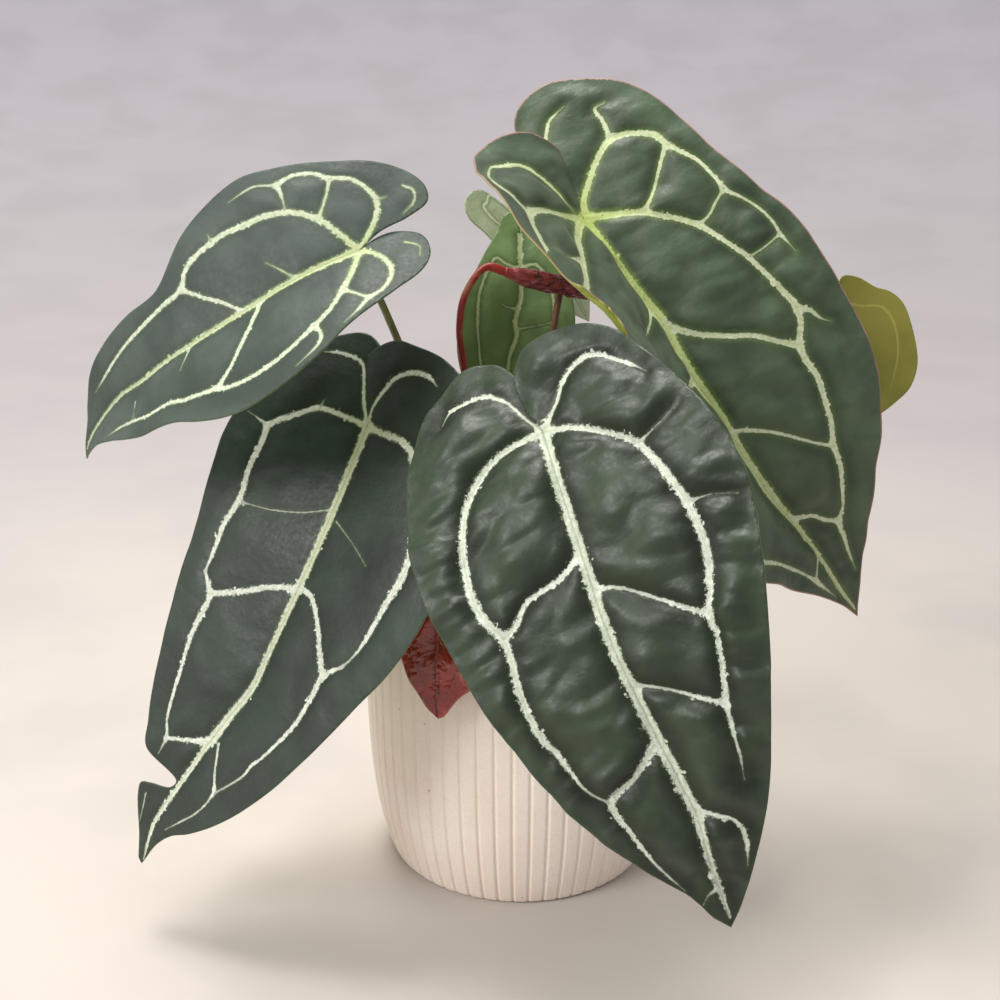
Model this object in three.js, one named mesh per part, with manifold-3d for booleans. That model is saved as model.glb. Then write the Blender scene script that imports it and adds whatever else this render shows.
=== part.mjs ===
// A potted Anthurium crystallinum: seven grown leaves, a rolled new leaf and a soft young leaf on
// one short crown, in potting mix, in a fluted ceramic pot.
// Millimetres, +Z up. The origin is the middle of the pot's base, and the front faces -Y.

import * as THREE from "three";
import { mergeVertices } from "three/addons/utils/BufferGeometryUtils.js";
import Module from "manifold-3d";

const wasm = await Module();
wasm.setup();

const part = new THREE.Group();

// ---- driving dimensions ----

const TOUCH_GAP = 0.3; // between pieces that rest on each other
const MERGE_TOLERANCE = 1e-3;

const POT = {
  radius: 70,
  baseRadius: 60,
  height: 128,
  wall: 4,
  floor: 5,
  innerCorner: 4, // how far the floor stops short of the inside wall
  footHeights: [12, 28, 58], // heights that follow the curved side
  taperHeight: 110, // above this the outside is a plain cylinder
  taperPower: 4, // how quickly the side turns in near the base
  baseChamfer: 1.2,
  rimRound: 1.6,
  ribs: 58,
  grooveDepth: 0.9,
};
const SOIL = { top: 113, edgeDrop: 3, edgeWidth: 4, segments: 48 };
const CROWN = { radius: 8, shoulder: 8, height: 12, topRadius: 5, segments: 24 };
const CATAPHYLL = { height: 14, span: 56, thickness: 0.6, taper: 0.85, rows: 6, columns: 5 };
const PETIOLE = { baseRadius: 1.8, tipRadius: 1.5, sides: 8, steps: 16, straight: 15, reach: 8 };
const BLADE = { thickness: 1, columns: 3 };
const ROLLED = {
  radius: 4,
  footRadius: 2.2,
  tipRadius: 0.6,
  swellShare: 0.2, // it reaches its full radius here
  closeShare: 0.5, // and narrows to the tip from here
  sides: 12,
  steps: 14,
};

// ---- materials ----

function finish(color, roughness) {
  return new THREE.MeshStandardMaterial({ color, roughness, metalness: 0 });
}
const FINISH = {
  ceramic: finish(0xe6ddd3, 0.75),
  soil: finish(0x3a2a20, 0.95),
  crown: finish(0x6b5a3a, 0.8),
  papery: finish(0x8a6a48, 0.9),
  darkLeaf: finish(0x24382c, 0.4),
  greyLeaf: finish(0x566359, 0.45),
  oliveLeaf: finish(0x7c7a30, 0.5),
  paleLeaf: finish(0x6f8a5a, 0.5),
  redLeaf: finish(0x8e3a34, 0.25),
  stalk: finish(0x5d5a34, 0.5),
  redStalk: finish(0x8a2b2b, 0.4),
};

// ---- general builders ----

function addMesh(name, geometry, material) {
  const mesh = new THREE.Mesh(geometry, material);
  mesh.name = name;
  part.add(mesh);
}

function geometryFrom(positions, triangles) {
  const geometry = new THREE.BufferGeometry();
  geometry.setAttribute("position", new THREE.Float32BufferAttribute(positions, 3));
  geometry.setIndex(triangles);
  return geometry;
}

function toSolid(geometry) {
  const bare = new THREE.BufferGeometry();
  bare.setAttribute("position", geometry.getAttribute("position"));
  bare.setIndex(geometry.getIndex());
  const merged = mergeVertices(bare, MERGE_TOLERANCE);
  return new wasm.Manifold(
    new wasm.Mesh({
      numProp: 3,
      vertProperties: new Float32Array(merged.attributes.position.array),
      triVerts: new Uint32Array(merged.index.array),
    }),
  );
}

function fromSolid(solid) {
  const mesh = solid.getMesh();
  return geometryFrom(Array.from(mesh.vertProperties), Array.from(mesh.triVerts));
}

// Two triangles for each cell of a grid of point numbers, in rows of the given width.
function gridTriangles(rows, columns, numberAt) {
  const triangles = [];
  for (let i = 0; i < rows; i++) {
    for (let j = 0; j < columns; j++) {
      const a = numberAt(i, j);
      const b = numberAt(i, j + 1);
      const c = numberAt(i + 1, j + 1);
      const d = numberAt(i + 1, j);
      triangles.push(a, b, c, a, c, d);
    }
  }
  return triangles;
}

// A closed body from rings of equal length, with a flat fan at each end.
function ringBody(rings) {
  const sides = rings[0].length;
  const points = rings.flat();
  const first = points.push(centreOf(rings[0])) - 1;
  const last = points.push(centreOf(rings.at(-1))) - 1;
  const numberAt = (i, j) => i * sides + (j % sides);
  const triangles = gridTriangles(rings.length - 1, sides, numberAt);
  for (let j = 0; j < sides; j++) {
    triangles.push(first, numberAt(0, j + 1), numberAt(0, j));
    triangles.push(last, numberAt(rings.length - 1, j), numberAt(rings.length - 1, j + 1));
  }
  return geometryFrom(points.flatMap((p) => [p.x, p.y, p.z]), triangles);
}

function centreOf(ring) {
  const sum = new THREE.Vector3();
  ring.forEach((p) => sum.add(p));
  return sum.divideScalar(ring.length);
}

// A round bar along a curve, whose radius follows radiusAt(share of the length).
function taperedBar(curve, radiusAt, sides, steps) {
  const frames = curve.computeFrenetFrames(steps, false);
  const rings = [];
  for (let i = 0; i <= steps; i++) {
    const share = i / steps;
    const centre = curve.getPointAt(share);
    const ring = [];
    for (let j = 0; j < sides; j++) {
      const angle = (2 * Math.PI * j) / sides;
      ring.push(
        centre
          .clone()
          .addScaledVector(frames.normals[i], radiusAt(share) * Math.cos(angle))
          .addScaledVector(frames.binormals[i], radiusAt(share) * Math.sin(angle)),
      );
    }
    rings.push(ring);
  }
  return ringBody(rings);
}

// A sheet of even thickness whose middle surface is pointAt(row share, column share).
function sheetBody(pointAt, rows, columns, thickness) {
  const top = [];
  const bottom = [];
  const nudge = 1e-3;
  for (let i = 0; i <= rows; i++) {
    for (let j = 0; j <= columns; j++) {
      const u = i / rows;
      const v = j / columns;
      const point = pointAt(u, v);
      const along = pointAt(Math.min(u + nudge, 1), v).sub(pointAt(Math.max(u - nudge, 0), v));
      const across = pointAt(u, Math.min(v + nudge, 1)).sub(pointAt(u, Math.max(v - nudge, 0)));
      const normal = across.cross(along).normalize();
      top.push(point.clone().addScaledVector(normal, thickness / 2));
      bottom.push(point.clone().addScaledVector(normal, -thickness / 2));
    }
  }
  const width = columns + 1;
  const count = (rows + 1) * width;
  const upper = gridTriangles(rows, columns, (i, j) => i * width + j);
  const lower = gridTriangles(rows, columns, (i, j) => count + i * width + columns - j);
  const rim = rimLoop(rows, columns);
  const edge = [];
  rim.forEach((a, k) => {
    const b = rim[(k + 1) % rim.length];
    edge.push(a, a + count, b + count, a, b + count, b);
  });
  const points = top.concat(bottom);
  return geometryFrom(points.flatMap((p) => [p.x, p.y, p.z]), [...upper, ...lower, ...edge]);
}

// The point numbers round the edge of a sheet's grid, in order.
function rimLoop(rows, columns) {
  const width = columns + 1;
  const loop = [];
  for (let j = 0; j < columns; j++) {
    loop.push(j);
  }
  for (let i = 0; i < rows; i++) {
    loop.push(i * width + columns);
  }
  for (let j = columns; j > 0; j--) {
    loop.push(rows * width + j);
  }
  for (let i = rows; i > 0; i--) {
    loop.push(i * width);
  }
  return loop;
}

// ---- the pot ----

function potOuterRadius(z) {
  const below = Math.max(0, 1 - z / POT.taperHeight);
  return POT.radius - (POT.radius - POT.baseRadius) * below ** POT.taperPower;
}

// How deep the flutes are at this share of one rib: a narrow groove, then a flat rib.
const FLUTE = [
  { share: 0, depth: 1 },
  { share: 0.18, depth: 0 },
  { share: 0.82, depth: 0 },
];

function potRing(radius, z, groove) {
  const ring = [];
  for (let rib = 0; rib < POT.ribs; rib++) {
    for (const { share, depth } of FLUTE) {
      const angle = (2 * Math.PI * (rib + share)) / POT.ribs;
      const r = radius - groove * depth;
      ring.push(new THREE.Vector3(r * Math.cos(angle), r * Math.sin(angle), z));
    }
  }
  return ring;
}

function pot() {
  const top = POT.height - POT.rimRound;
  const inner = (z) => potOuterRadius(z) - POT.wall;
  const depth = POT.grooveDepth;
  return ringBody([
    potRing(POT.baseRadius - POT.baseChamfer, 0, depth / 2),
    potRing(potOuterRadius(POT.baseChamfer), POT.baseChamfer, depth),
    ...POT.footHeights.map((z) => potRing(potOuterRadius(z), z, depth)),
    potRing(POT.radius, top, depth),
    potRing(POT.radius - POT.rimRound, POT.height, 0),
    potRing(POT.radius - POT.wall, top, 0),
    ...POT.footHeights.toReversed().map((z) => potRing(inner(z), z, 0)),
    potRing(inner(POT.floor) - POT.innerCorner, POT.floor, 0),
  ]);
}

// Fills the pot, a hair clear of it all round.
function pottingMix() {
  const side = (z) => potOuterRadius(z) - POT.wall - 2 * TOUCH_GAP;
  const bottom = POT.floor + TOUCH_GAP;
  const shoulder = SOIL.top - SOIL.edgeDrop;
  const profile = [
    [0, bottom],
    [side(bottom) - POT.innerCorner, bottom],
    ...POT.footHeights.map((z) => [side(z), z]),
    [side(shoulder), shoulder],
    [side(shoulder) - SOIL.edgeWidth, SOIL.top],
    [0, SOIL.top],
  ];
  return uprightLathe(profile, SOIL.segments);
}

// LatheGeometry turns its profile about Y, and this part stands along Z.
function uprightLathe(profile, segments) {
  const points = profile.map(([r, z]) => new THREE.Vector2(r, z));
  return new THREE.LatheGeometry(points, segments).rotateX(Math.PI / 2);
}

// ---- the crown and its sheaths ----

const CROWN_FOOT = SOIL.top + TOUCH_GAP;

function crown() {
  const profile = [
    [0, CROWN_FOOT],
    [CROWN.radius, CROWN_FOOT],
    [CROWN.radius, CROWN_FOOT + CROWN.shoulder],
    [CROWN.topRadius, CROWN_FOOT + CROWN.height],
    [0, CROWN_FOOT + CROWN.height],
  ];
  return uprightLathe(profile, CROWN.segments);
}

// One dry sheath: a pointed strip of a cylinder round the feet of the stalks.
function cataphyll(middleAngle) {
  const radius = CROWN.radius + 2 * PETIOLE.baseRadius + 4 * TOUCH_GAP;
  const pointAt = (up, across) => {
    const width = THREE.MathUtils.degToRad(CATAPHYLL.span * (1 - CATAPHYLL.taper * up ** 2));
    const angle = THREE.MathUtils.degToRad(middleAngle) + (across - 0.5) * width;
    const z = CROWN_FOOT + CATAPHYLL.height * up;
    return new THREE.Vector3(radius * Math.cos(angle), radius * Math.sin(angle), z);
  };
  return sheetBody(pointAt, CATAPHYLL.rows, CATAPHYLL.columns, CATAPHYLL.thickness);
}

// ---- leaf blades ----
// A blade is laid out along its midrib: s runs from the stalk (0) to the tip, with the lobes at
// s < 0, and d runs outward from the midrib. A fold lifts each half to its own side like an open
// book, and a curl bends it further, in degrees per 100 mm. Where they change along the blade,
// they are given at the lobes, at the stalk, at two places between and at the tip.

const STATIONS = [-0.25, 0, 0.3, 0.6, 1];
const CURL_LENGTH = 100;
const GENTLE_CURL = -5;

// A half whose fold and curl are the same all along it.
function evenHalf({ fold, curl = GENTLE_CURL, lobeLift = 0, outline }) {
  const along = (value) => STATIONS.map(() => value);
  return { fold: along(fold), curl: along(curl), lobeLift, columns: BLADE.columns, outline };
}

function atStation(values, share) {
  const u = THREE.MathUtils.clamp(share, STATIONS[0], STATIONS.at(-1));
  const last = STATIONS.length - 2;
  const k = Math.min(last, STATIONS.findLastIndex((station) => station <= u));
  const ease = THREE.MathUtils.smoothstep(u, STATIONS[k], STATIONS[k + 1]);
  return THREE.MathUtils.lerp(values[k], values[k + 1], ease);
}

// The midrib bends down by droop degrees and sideways by sweep degrees from stalk to tip.
function midribDirection(leaf, share) {
  const rad = THREE.MathUtils.degToRad;
  const ahead = Math.max(share, 0);
  const down = share < 0 ? rad(leaf.lobeRise) * share : rad(leaf.droop) * ahead;
  const aside = rad(leaf.sweep) * ahead;
  const along = new THREE.Vector3(
    Math.cos(down) * Math.cos(aside),
    -Math.sin(down) * Math.cos(aside),
    Math.sin(aside),
  );
  const up = new THREE.Vector3(Math.sin(down), Math.cos(down), 0);
  return { along, up };
}

const MIDRIB_STEPS = 80;

// The bent midrib from share 0 to the given share, for a length of 1 and before it is placed.
function midribOffset(leaf, share) {
  const offset = new THREE.Vector3();
  for (let i = 0; i < MIDRIB_STEPS; i++) {
    const middle = (share * (i + 0.5)) / MIDRIB_STEPS;
    offset.addScaledVector(midribDirection(leaf, middle).along, share / MIDRIB_STEPS);
  }
  return offset;
}

// The turn and the length that put the bent midrib's ends on the leaf's attach and tip points.
function placeLeaf(leaf) {
  const attach = new THREE.Vector3(...leaf.attach);
  const chord = new THREE.Vector3(...leaf.tip).sub(attach);
  const bent = midribOffset(leaf, 1);
  const along = chord.clone().normalize();
  const upright = new THREE.Vector3(0, 0, 1).addScaledVector(along, -along.z).normalize();
  const up = upright.applyAxisAngle(along, THREE.MathUtils.degToRad(-leaf.roll));
  const bentAlong = bent.clone().normalize();
  const bentUp = new THREE.Vector3(0, 1, 0).addScaledVector(bentAlong, -bentAlong.y).normalize();
  const turn = basis(along, up).multiply(basis(bentAlong, bentUp).transpose());
  return { attach, turn, length: chord.length() / bent.length() };
}

function basis(along, up) {
  return new THREE.Matrix4().makeBasis(along, up, up.clone().cross(along));
}

function bladePoint(leaf, place, side, d, s) {
  const share = s / place.length;
  const half = side > 0 ? leaf.right : leaf.left;
  const fold = THREE.MathUtils.degToRad(atStation(half.fold, share));
  const curl = THREE.MathUtils.degToRad(atStation(half.curl, share)) / CURL_LENGTH;
  const out = (Math.sin(fold + curl * d) - Math.sin(fold)) / curl;
  const lobeShare = THREE.MathUtils.clamp(share / STATIONS[0], 0, 1);
  const rise = (Math.cos(fold) - Math.cos(fold + curl * d)) / curl + half.lobeLift * lobeShare;
  const { along, up } = midribDirection(leaf, share);
  const across = up.clone().cross(along).normalize();
  const trueUp = along.clone().cross(across);
  return midribOffset(leaf, share)
    .multiplyScalar(place.length)
    .addScaledVector(across, side * out)
    .addScaledVector(trueUp, rise)
    .applyMatrix4(place.turn)
    .add(place.attach);
}

const OUTLINE_STEPS = 8; // points made between two points of an outline

// A half's outline as its inner and outer distance from the midrib against s. The outline runs
// from the stalk round the back of the lobe to the tip.
function outlineReader(outline) {
  const knots = outline.map(([d, s]) => new THREE.Vector3(d, s, 0));
  const curve = new THREE.CatmullRomCurve3(knots, false, "centripetal");
  const points = curve.getPoints(outline.length * OUTLINE_STEPS);
  const back = points.reduce((low, p, i) => (p.y < points[low].y ? i : low), 0);
  const inner = points.slice(0, back + 1).reverse();
  const outer = points.slice(back);
  return { inner, outer, levels: rowLevels(outline, points[back].y) };
}

const LEAST_ROW = 3; // shorter steps between two rows of points are left out

// The s of each row of points across a half: one at each point of the outline.
function rowLevels(outline, from) {
  const levels = [from];
  for (const s of outline.map((point) => point[1]).sort((a, b) => a - b)) {
    if (s - levels.at(-1) >= LEAST_ROW) {
      levels.push(s);
    }
  }
  levels[levels.length - 1] = outline.at(-1)[1];
  return levels;
}

function distanceAt(branch, s) {
  const k = branch.findIndex((p) => p.y >= s);
  if (k <= 0) {
    return branch.at(k).x;
  }
  const a = branch[k - 1];
  const b = branch[k];
  return THREE.MathUtils.lerp(a.x, b.x, (s - a.y) / (b.y - a.y));
}

const MIDRIB_LAP = 0.4; // how far each half runs past the midrib, so that the halves join
const LEAST_WIDTH = 0.8;

function halfBlade(leaf, place, side) {
  const half = side > 0 ? leaf.right : leaf.left;
  const { inner, outer, levels } = outlineReader(half.outline);
  const rows = levels.length - 1;
  const pointAt = (row, column) => {
    const k = Math.min(Math.floor(row * rows), rows - 1);
    const s = THREE.MathUtils.lerp(levels[k], levels[k + 1], row * rows - k);
    const near = s < 0 ? distanceAt(inner, s) : -MIDRIB_LAP;
    const far = Math.max(distanceAt(outer, s), near + LEAST_WIDTH);
    const t = side > 0 ? column : 1 - column;
    return bladePoint(leaf, place, side, THREE.MathUtils.lerp(near, far, t), s);
  };
  return sheetBody(pointAt, rows, half.columns, BLADE.thickness);
}

function blade(leaf) {
  const place = placeLeaf(leaf);
  const right = toSolid(halfBlade(leaf, place, 1));
  const left = toSolid(halfBlade(leaf, place, -1));
  return fromSolid(right.add(left));
}

// ---- stalks ----

// A stalk starts upright beside the crown and ends square against the underside of its blade.
function petiole(leaf) {
  const place = placeLeaf(leaf);
  const upward = midribDirection(leaf, 0).up.transformDirection(place.turn);
  const end = place.attach.clone().addScaledVector(upward, -(BLADE.thickness / 2 + 1.5 * TOUCH_GAP));
  const approach = place.attach.clone().addScaledVector(upward, -PETIOLE.reach);
  return stalkFrom(leaf.stalk, [approach, end]);
}

function stalkFrom({ angle, via }, ending) {
  const radius = CROWN.radius + PETIOLE.baseRadius + 2 * TOUCH_GAP;
  const turned = THREE.MathUtils.degToRad(angle);
  const foot = new THREE.Vector3(radius * Math.cos(turned), radius * Math.sin(turned), CROWN_FOOT);
  const above = foot.clone().setZ(CROWN_FOOT + PETIOLE.straight);
  const points = [foot, above, ...via.map((p) => new THREE.Vector3(...p)), ...ending];
  const curve = new THREE.CatmullRomCurve3(points, false, "centripetal");
  const radiusAt = (share) => THREE.MathUtils.lerp(PETIOLE.baseRadius, PETIOLE.tipRadius, share);
  return taperedBar(curve, radiusAt, PETIOLE.sides, PETIOLE.steps);
}

// ---- the leaves of this plant ----

const frontLeaf = {
  attach: [7, -84, 219],
  tip: [71, -158, 62],
  roll: -56,
  droop: 43,
  sweep: 6,
  lobeRise: 2,
  right: evenHalf({
    fold: 5,
    lobeLift: 4,
    outline: [
      [0, 0], [-3, -10], [-4, -23], [2, -33], [12, -36], [26, -33], [39, -23], [49, -5], [56, 11],
      [62, 31], [63, 48], [58, 73], [51, 95], [40, 124], [29, 149], [15, 172], [6, 185], [0, 192],
    ],
  }),
  left: evenHalf({
    fold: 5,
    outline: [
      [0, 0], [1, -12], [3, -25], [9, -35], [19, -39], [33, -34], [47, -20], [56, -2], [62, 24],
      [62, 46], [57, 75], [49, 105], [36, 137], [21, 161], [9, 176], [4, 186], [0, 192],
    ],
  }),
  stalk: { angle: 275, via: [[3, -26, 168], [10, -58, 207]] },
};

const lowerLeftLeaf = {
  attach: [-63, -30, 207],
  tip: [-157, -80, 34],
  roll: 24,
  droop: 8,
  sweep: 24,
  lobeRise: 4,
  right: evenHalf({
    fold: 6,
    lobeLift: 5,
    outline: [
      [0, 0], [-10, -10], [-14, -19], [-12, -28], [-6, -34], [2, -37], [12, -36], [30, -32],
      [46, -22], [58, -5], [64, 16], [66, 38], [65, 60], [61, 80], [52, 100], [44, 122], [32, 149],
      [23, 165], [12, 179], [5, 186], [1, 194], [0, 205],
    ],
  }),
  left: evenHalf({
    fold: 8,
    outline: [
      [0, 0], [1, -14], [4, -29], [9, -35], [16, -38], [28, -35], [44, -25], [58, -6], [66, 10],
      [67, 22], [65, 42], [61, 66], [54, 102], [43, 138], [35, 156], [29, 166], [8, 168], [9, 172],
      [18, 177], [22, 180], [20, 185], [8, 198], [2, 205],
    ],
  }),
  stalk: { angle: 195, via: [[-22, -2, 168], [-46, -8, 195]] },
};

const upperLeftLeaf = {
  attach: [-64, -30, 278],
  tip: [-184, -16, 189],
  roll: 46,
  droop: 52,
  sweep: 8,
  lobeRise: 0,
  right: evenHalf({
    fold: 12,
    curl: -7,
    outline: [
      [0, 0], [-3, -8], [-3, -15], [3, -23], [10, -25], [19, -23], [26, -17], [31, -4], [38, 15],
      [46, 31], [51, 47], [50, 64], [43, 78], [32, 92], [23, 112], [10, 130], [2, 144], [0, 155],
    ],
  }),
  left: evenHalf({
    fold: 13,
    lobeLift: 2,
    outline: [
      [0, 0], [4, -10], [5, -23], [8, -33], [15, -35], [25, -31], [35, -21], [45, -2], [51, 15],
      [54, 31], [50, 48], [44, 62], [31, 81], [31, 98], [30, 115], [26, 128], [13, 142], [5, 152],
      [0, 155],
    ],
  }),
  stalk: { angle: 155, via: [[-26, 12, 168], [-50, 8, 228], [-58, -8, 254]] },
};

const upperRightLeaf = {
  attach: [26, 14, 286],
  tip: [154, 2, 109],
  roll: -62,
  droop: 46,
  sweep: -19,
  lobeRise: -4,
  right: evenHalf({
    fold: 10,
    curl: -3,
    outline: [
      [0, 0], [-2, -20], [-5, -44], [-2, -54], [7, -60], [20, -61], [36, -54], [50, -40], [58, -20],
      [63, 2], [69, 25], [75, 46], [76, 64], [75, 88], [71, 118], [59, 145], [41, 169], [20, 195],
      [6, 215], [0, 225],
    ],
  }),
  left: {
    fold: [20, 48, 43, 36, 18],
    curl: [-4, 10, 42, 15, 5],
    lobeLift: 12,
    columns: 6,
    outline: [
      [0, 0], [-6, -9], [-10, -20], [-7, -32], [1, -39.5], [10, -42], [20, -41.5], [30, -39],
      [40, -34], [50, -25], [60, -16], [67, -8], [71, 3], [72, 15], [71, 30], [69, 45], [65, 60],
      [60, 85], [57, 110], [55, 132], [49, 149], [38, 159], [29, 168], [20, 181], [10, 196],
      [3, 212], [0, 225],
    ],
  },
  stalk: { angle: 315, via: [[11, 6, 168], [14, 15, 235], [19, 20, 262]] },
};

const backCentreLeaf = {
  attach: [0, 50, 275],
  tip: [-5, 46, 178],
  roll: 50,
  droop: 30,
  sweep: 0,
  lobeRise: 0,
  right: evenHalf({
    fold: 8,
    outline: [
      [0, 0], [1, -6], [5, -11], [11, -9], [16, 2], [22, 16], [27, 34], [27, 50], [22, 68], [11, 86],
      [0, 98],
    ],
  }),
  left: evenHalf({
    fold: 8,
    outline: [
      [0, 0], [1, -6], [4, -10], [8, -8], [11, 0], [16, 10], [21, 22], [25, 38], [26, 52], [21, 70],
      [10, 87], [0, 98],
    ],
  }),
  stalk: { angle: 35, via: [[9, 26, 150], [7, 54, 178], [4, 66, 225], [1, 65, 262]] },
};

const backLeftLeaf = {
  attach: [-3, 92, 281],
  tip: [36, 110, 225],
  roll: -70,
  droop: 20,
  sweep: 0,
  lobeRise: 0,
  right: evenHalf({
    fold: 5,
    outline: [
      [0, 0], [2, -9], [7, -14], [15, -12], [22, -3], [25, 12], [23, 28], [17, 46], [7, 62], [0, 71],
    ],
  }),
  left: evenHalf({
    fold: 5,
    outline: [
      [0, 0], [2, -10], [6, -19], [12, -22], [19, -20], [22, -15], [21, -4], [20, 14], [18, 32],
      [12, 51], [0, 71],
    ],
  }),
  stalk: { angle: 75, via: [[3, 40, 160], [0, 82, 215], [-8, 104, 258]] },
};

const backRightLeaf = {
  attach: [148, 52, 245],
  tip: [166, 48, 187],
  roll: 105,
  droop: 20,
  sweep: 0,
  lobeRise: 0,
  right: evenHalf({
    fold: 5,
    outline: [
      [0, 0], [2, -8], [8, -12], [15, -10], [21, -3], [24, 10], [22, 26], [16, 42], [7, 54], [0, 61],
    ],
  }),
  left: evenHalf({
    fold: 5,
    outline: [
      [0, 0], [0, -7], [3, -11], [10, -8], [17, -1], [23, 3], [28, 10], [30, 20], [30, 32], [28, 42],
      [22, 50], [12, 55], [4, 58], [0, 61],
    ],
  }),
  stalk: { angle: 355, via: [[40, 14, 182], [95, 34, 226], [135, 40, 246]] },
};

const youngLeaf = {
  attach: [-30, -69, 160],
  tip: [-34, -74, 97],
  roll: 10,
  droop: 25,
  sweep: 0,
  lobeRise: 0,
  right: evenHalf({
    fold: 6,
    outline: [
      [0, 0], [3, -6], [9, -9], [15, -4], [19, 8], [19, 24], [18, 38], [17, 45], [10, 52], [3, 62],
      [0, 64],
    ],
  }),
  left: evenHalf({
    fold: 6,
    outline: [
      [0, 0], [3, -6], [9, -9], [15, -4], [19, 8], [19, 24], [16, 40], [12, 49], [5, 59], [0, 64],
    ],
  }),
  stalk: { angle: 235, via: [[-12, -28, 158], [-22, -50, 172], [-28, -61, 168]] },
};

// ---- the rolled new leaf ----

const rolledLeaf = {
  route: [[-12, 9, 265], [2, 11, 261.7], [15.5, 11, 258.4], [30, 11, 255], [47, 12, 250]],
  stalk: { angle: 115, via: [[-18, 6, 168], [-23, -2, 224], [-26, 0, 246], [-22, 5, 260]] },
};

function rolledBlade() {
  const curve = new THREE.CatmullRomCurve3(rolledLeaf.route.map((p) => new THREE.Vector3(...p)));
  const radiusAt = (share) => {
    const swell = THREE.MathUtils.smoothstep(share, 0, ROLLED.swellShare);
    const close = THREE.MathUtils.smoothstep(share, ROLLED.closeShare, 1);
    const widest = THREE.MathUtils.lerp(ROLLED.footRadius, ROLLED.radius, swell);
    return THREE.MathUtils.lerp(widest, ROLLED.tipRadius, close);
  };
  return taperedBar(curve, radiusAt, ROLLED.sides, ROLLED.steps);
}

function rolledPetiole() {
  const [start, next] = rolledLeaf.route.map((p) => new THREE.Vector3(...p));
  const back = start.clone().sub(next).normalize();
  const approach = start.clone().addScaledVector(back, PETIOLE.reach);
  const end = start.clone().addScaledVector(back, TOUCH_GAP);
  return stalkFrom(rolledLeaf.stalk, [approach, end]);
}

// ---- the whole plant ----

addMesh("pot", pot(), FINISH.ceramic);
addMesh("potting_mix", pottingMix(), FINISH.soil);
addMesh("crown_stem", crown(), FINISH.crown);

const cataphyllAngles = { front: 255, left: 135, back: 15 };
for (const [place, angle] of Object.entries(cataphyllAngles)) {
  addMesh(`cataphyll_${place}`, cataphyll(angle), FINISH.papery);
}

const leaves = [
  ["front_leaf", frontLeaf, FINISH.darkLeaf, FINISH.stalk],
  ["lower_left_leaf", lowerLeftLeaf, FINISH.darkLeaf, FINISH.stalk],
  ["upper_left_leaf", upperLeftLeaf, FINISH.greyLeaf, FINISH.stalk],
  ["upper_right_leaf", upperRightLeaf, FINISH.darkLeaf, FINISH.redStalk],
  ["back_centre_leaf", backCentreLeaf, FINISH.paleLeaf, FINISH.stalk],
  ["back_left_leaf", backLeftLeaf, FINISH.paleLeaf, FINISH.stalk],
  ["back_right_leaf", backRightLeaf, FINISH.oliveLeaf, FINISH.stalk],
  ["young_leaf", youngLeaf, FINISH.redLeaf, FINISH.redStalk],
];
for (const [name, leaf, bladeFinish, stalkFinish] of leaves) {
  addMesh(`${name}_blade`, blade(leaf), bladeFinish);
  addMesh(`${name}_petiole`, petiole(leaf), stalkFinish);
}

addMesh("rolled_leaf_blade", rolledBlade(), FINISH.redLeaf);
addMesh("rolled_leaf_petiole", rolledPetiole(), FINISH.redStalk);

export default part;
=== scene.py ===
"""The looks of a potted Anthurium crystallinum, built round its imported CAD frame.

The frame's axes: the origin is the middle of the pot's base, +Z is up and the plant faces -Y.
Lengths are in millimetres until a mesh is made, and angles are in degrees.
"""

import math
import random

import bmesh
import bpy
import numpy as np
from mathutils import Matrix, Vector, kdtree, noise
from mathutils.geometry import delaunay_2d_cdt


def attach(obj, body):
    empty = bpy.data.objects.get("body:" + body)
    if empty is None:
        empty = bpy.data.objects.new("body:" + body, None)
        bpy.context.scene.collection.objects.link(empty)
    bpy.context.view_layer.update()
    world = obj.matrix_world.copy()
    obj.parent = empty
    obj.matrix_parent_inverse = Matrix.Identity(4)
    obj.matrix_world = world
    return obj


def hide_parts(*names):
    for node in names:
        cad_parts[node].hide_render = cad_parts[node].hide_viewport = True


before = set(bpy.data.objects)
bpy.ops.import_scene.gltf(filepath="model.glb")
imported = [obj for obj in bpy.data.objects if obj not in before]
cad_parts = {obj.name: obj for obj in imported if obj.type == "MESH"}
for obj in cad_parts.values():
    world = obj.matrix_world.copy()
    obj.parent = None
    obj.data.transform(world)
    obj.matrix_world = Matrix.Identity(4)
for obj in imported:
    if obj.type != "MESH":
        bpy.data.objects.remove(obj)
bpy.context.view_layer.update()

MM = 0.001
BODY = "root"
RANDOM_SEED = 7


# ---- the camera and the lights ----

CAMERA_PLACE = (-9, -546, 343)
CAMERA_PITCH = 18  # below the horizontal
CAMERA_SENSOR = 36
CAMERA_LENS = 46.9

# Each soft round light's name, place, target, diameter, watts and colour.
SOFT_LIGHTS = [
    ("sky_panel", (-500, 500, 3000), (0, 0, 180), 1300, 78, (1.0, 0.98, 0.95)),
    ("front_key", (-1200, -1000, 1300), (0, 0, 150), 900, 21, (1.0, 0.98, 0.96)),
    ("left_fill", (-1500, -500, 350), (0, 0, 80), 900, 3, (1.0, 0.95, 0.9)),
]
AIR_COLOR = (0.86, 0.84, 0.84, 1)
AIR_STRENGTH = 0.6


def add_camera():
    data = bpy.data.cameras.new("camera")
    data.sensor_width = CAMERA_SENSOR
    data.lens = CAMERA_LENS
    camera = bpy.data.objects.new("camera", data)
    camera.location = Vector(CAMERA_PLACE) * MM
    camera.rotation_euler = (math.radians(90 - CAMERA_PITCH), 0, 0)
    bpy.context.scene.collection.objects.link(camera)
    bpy.context.scene.camera = camera


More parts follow.
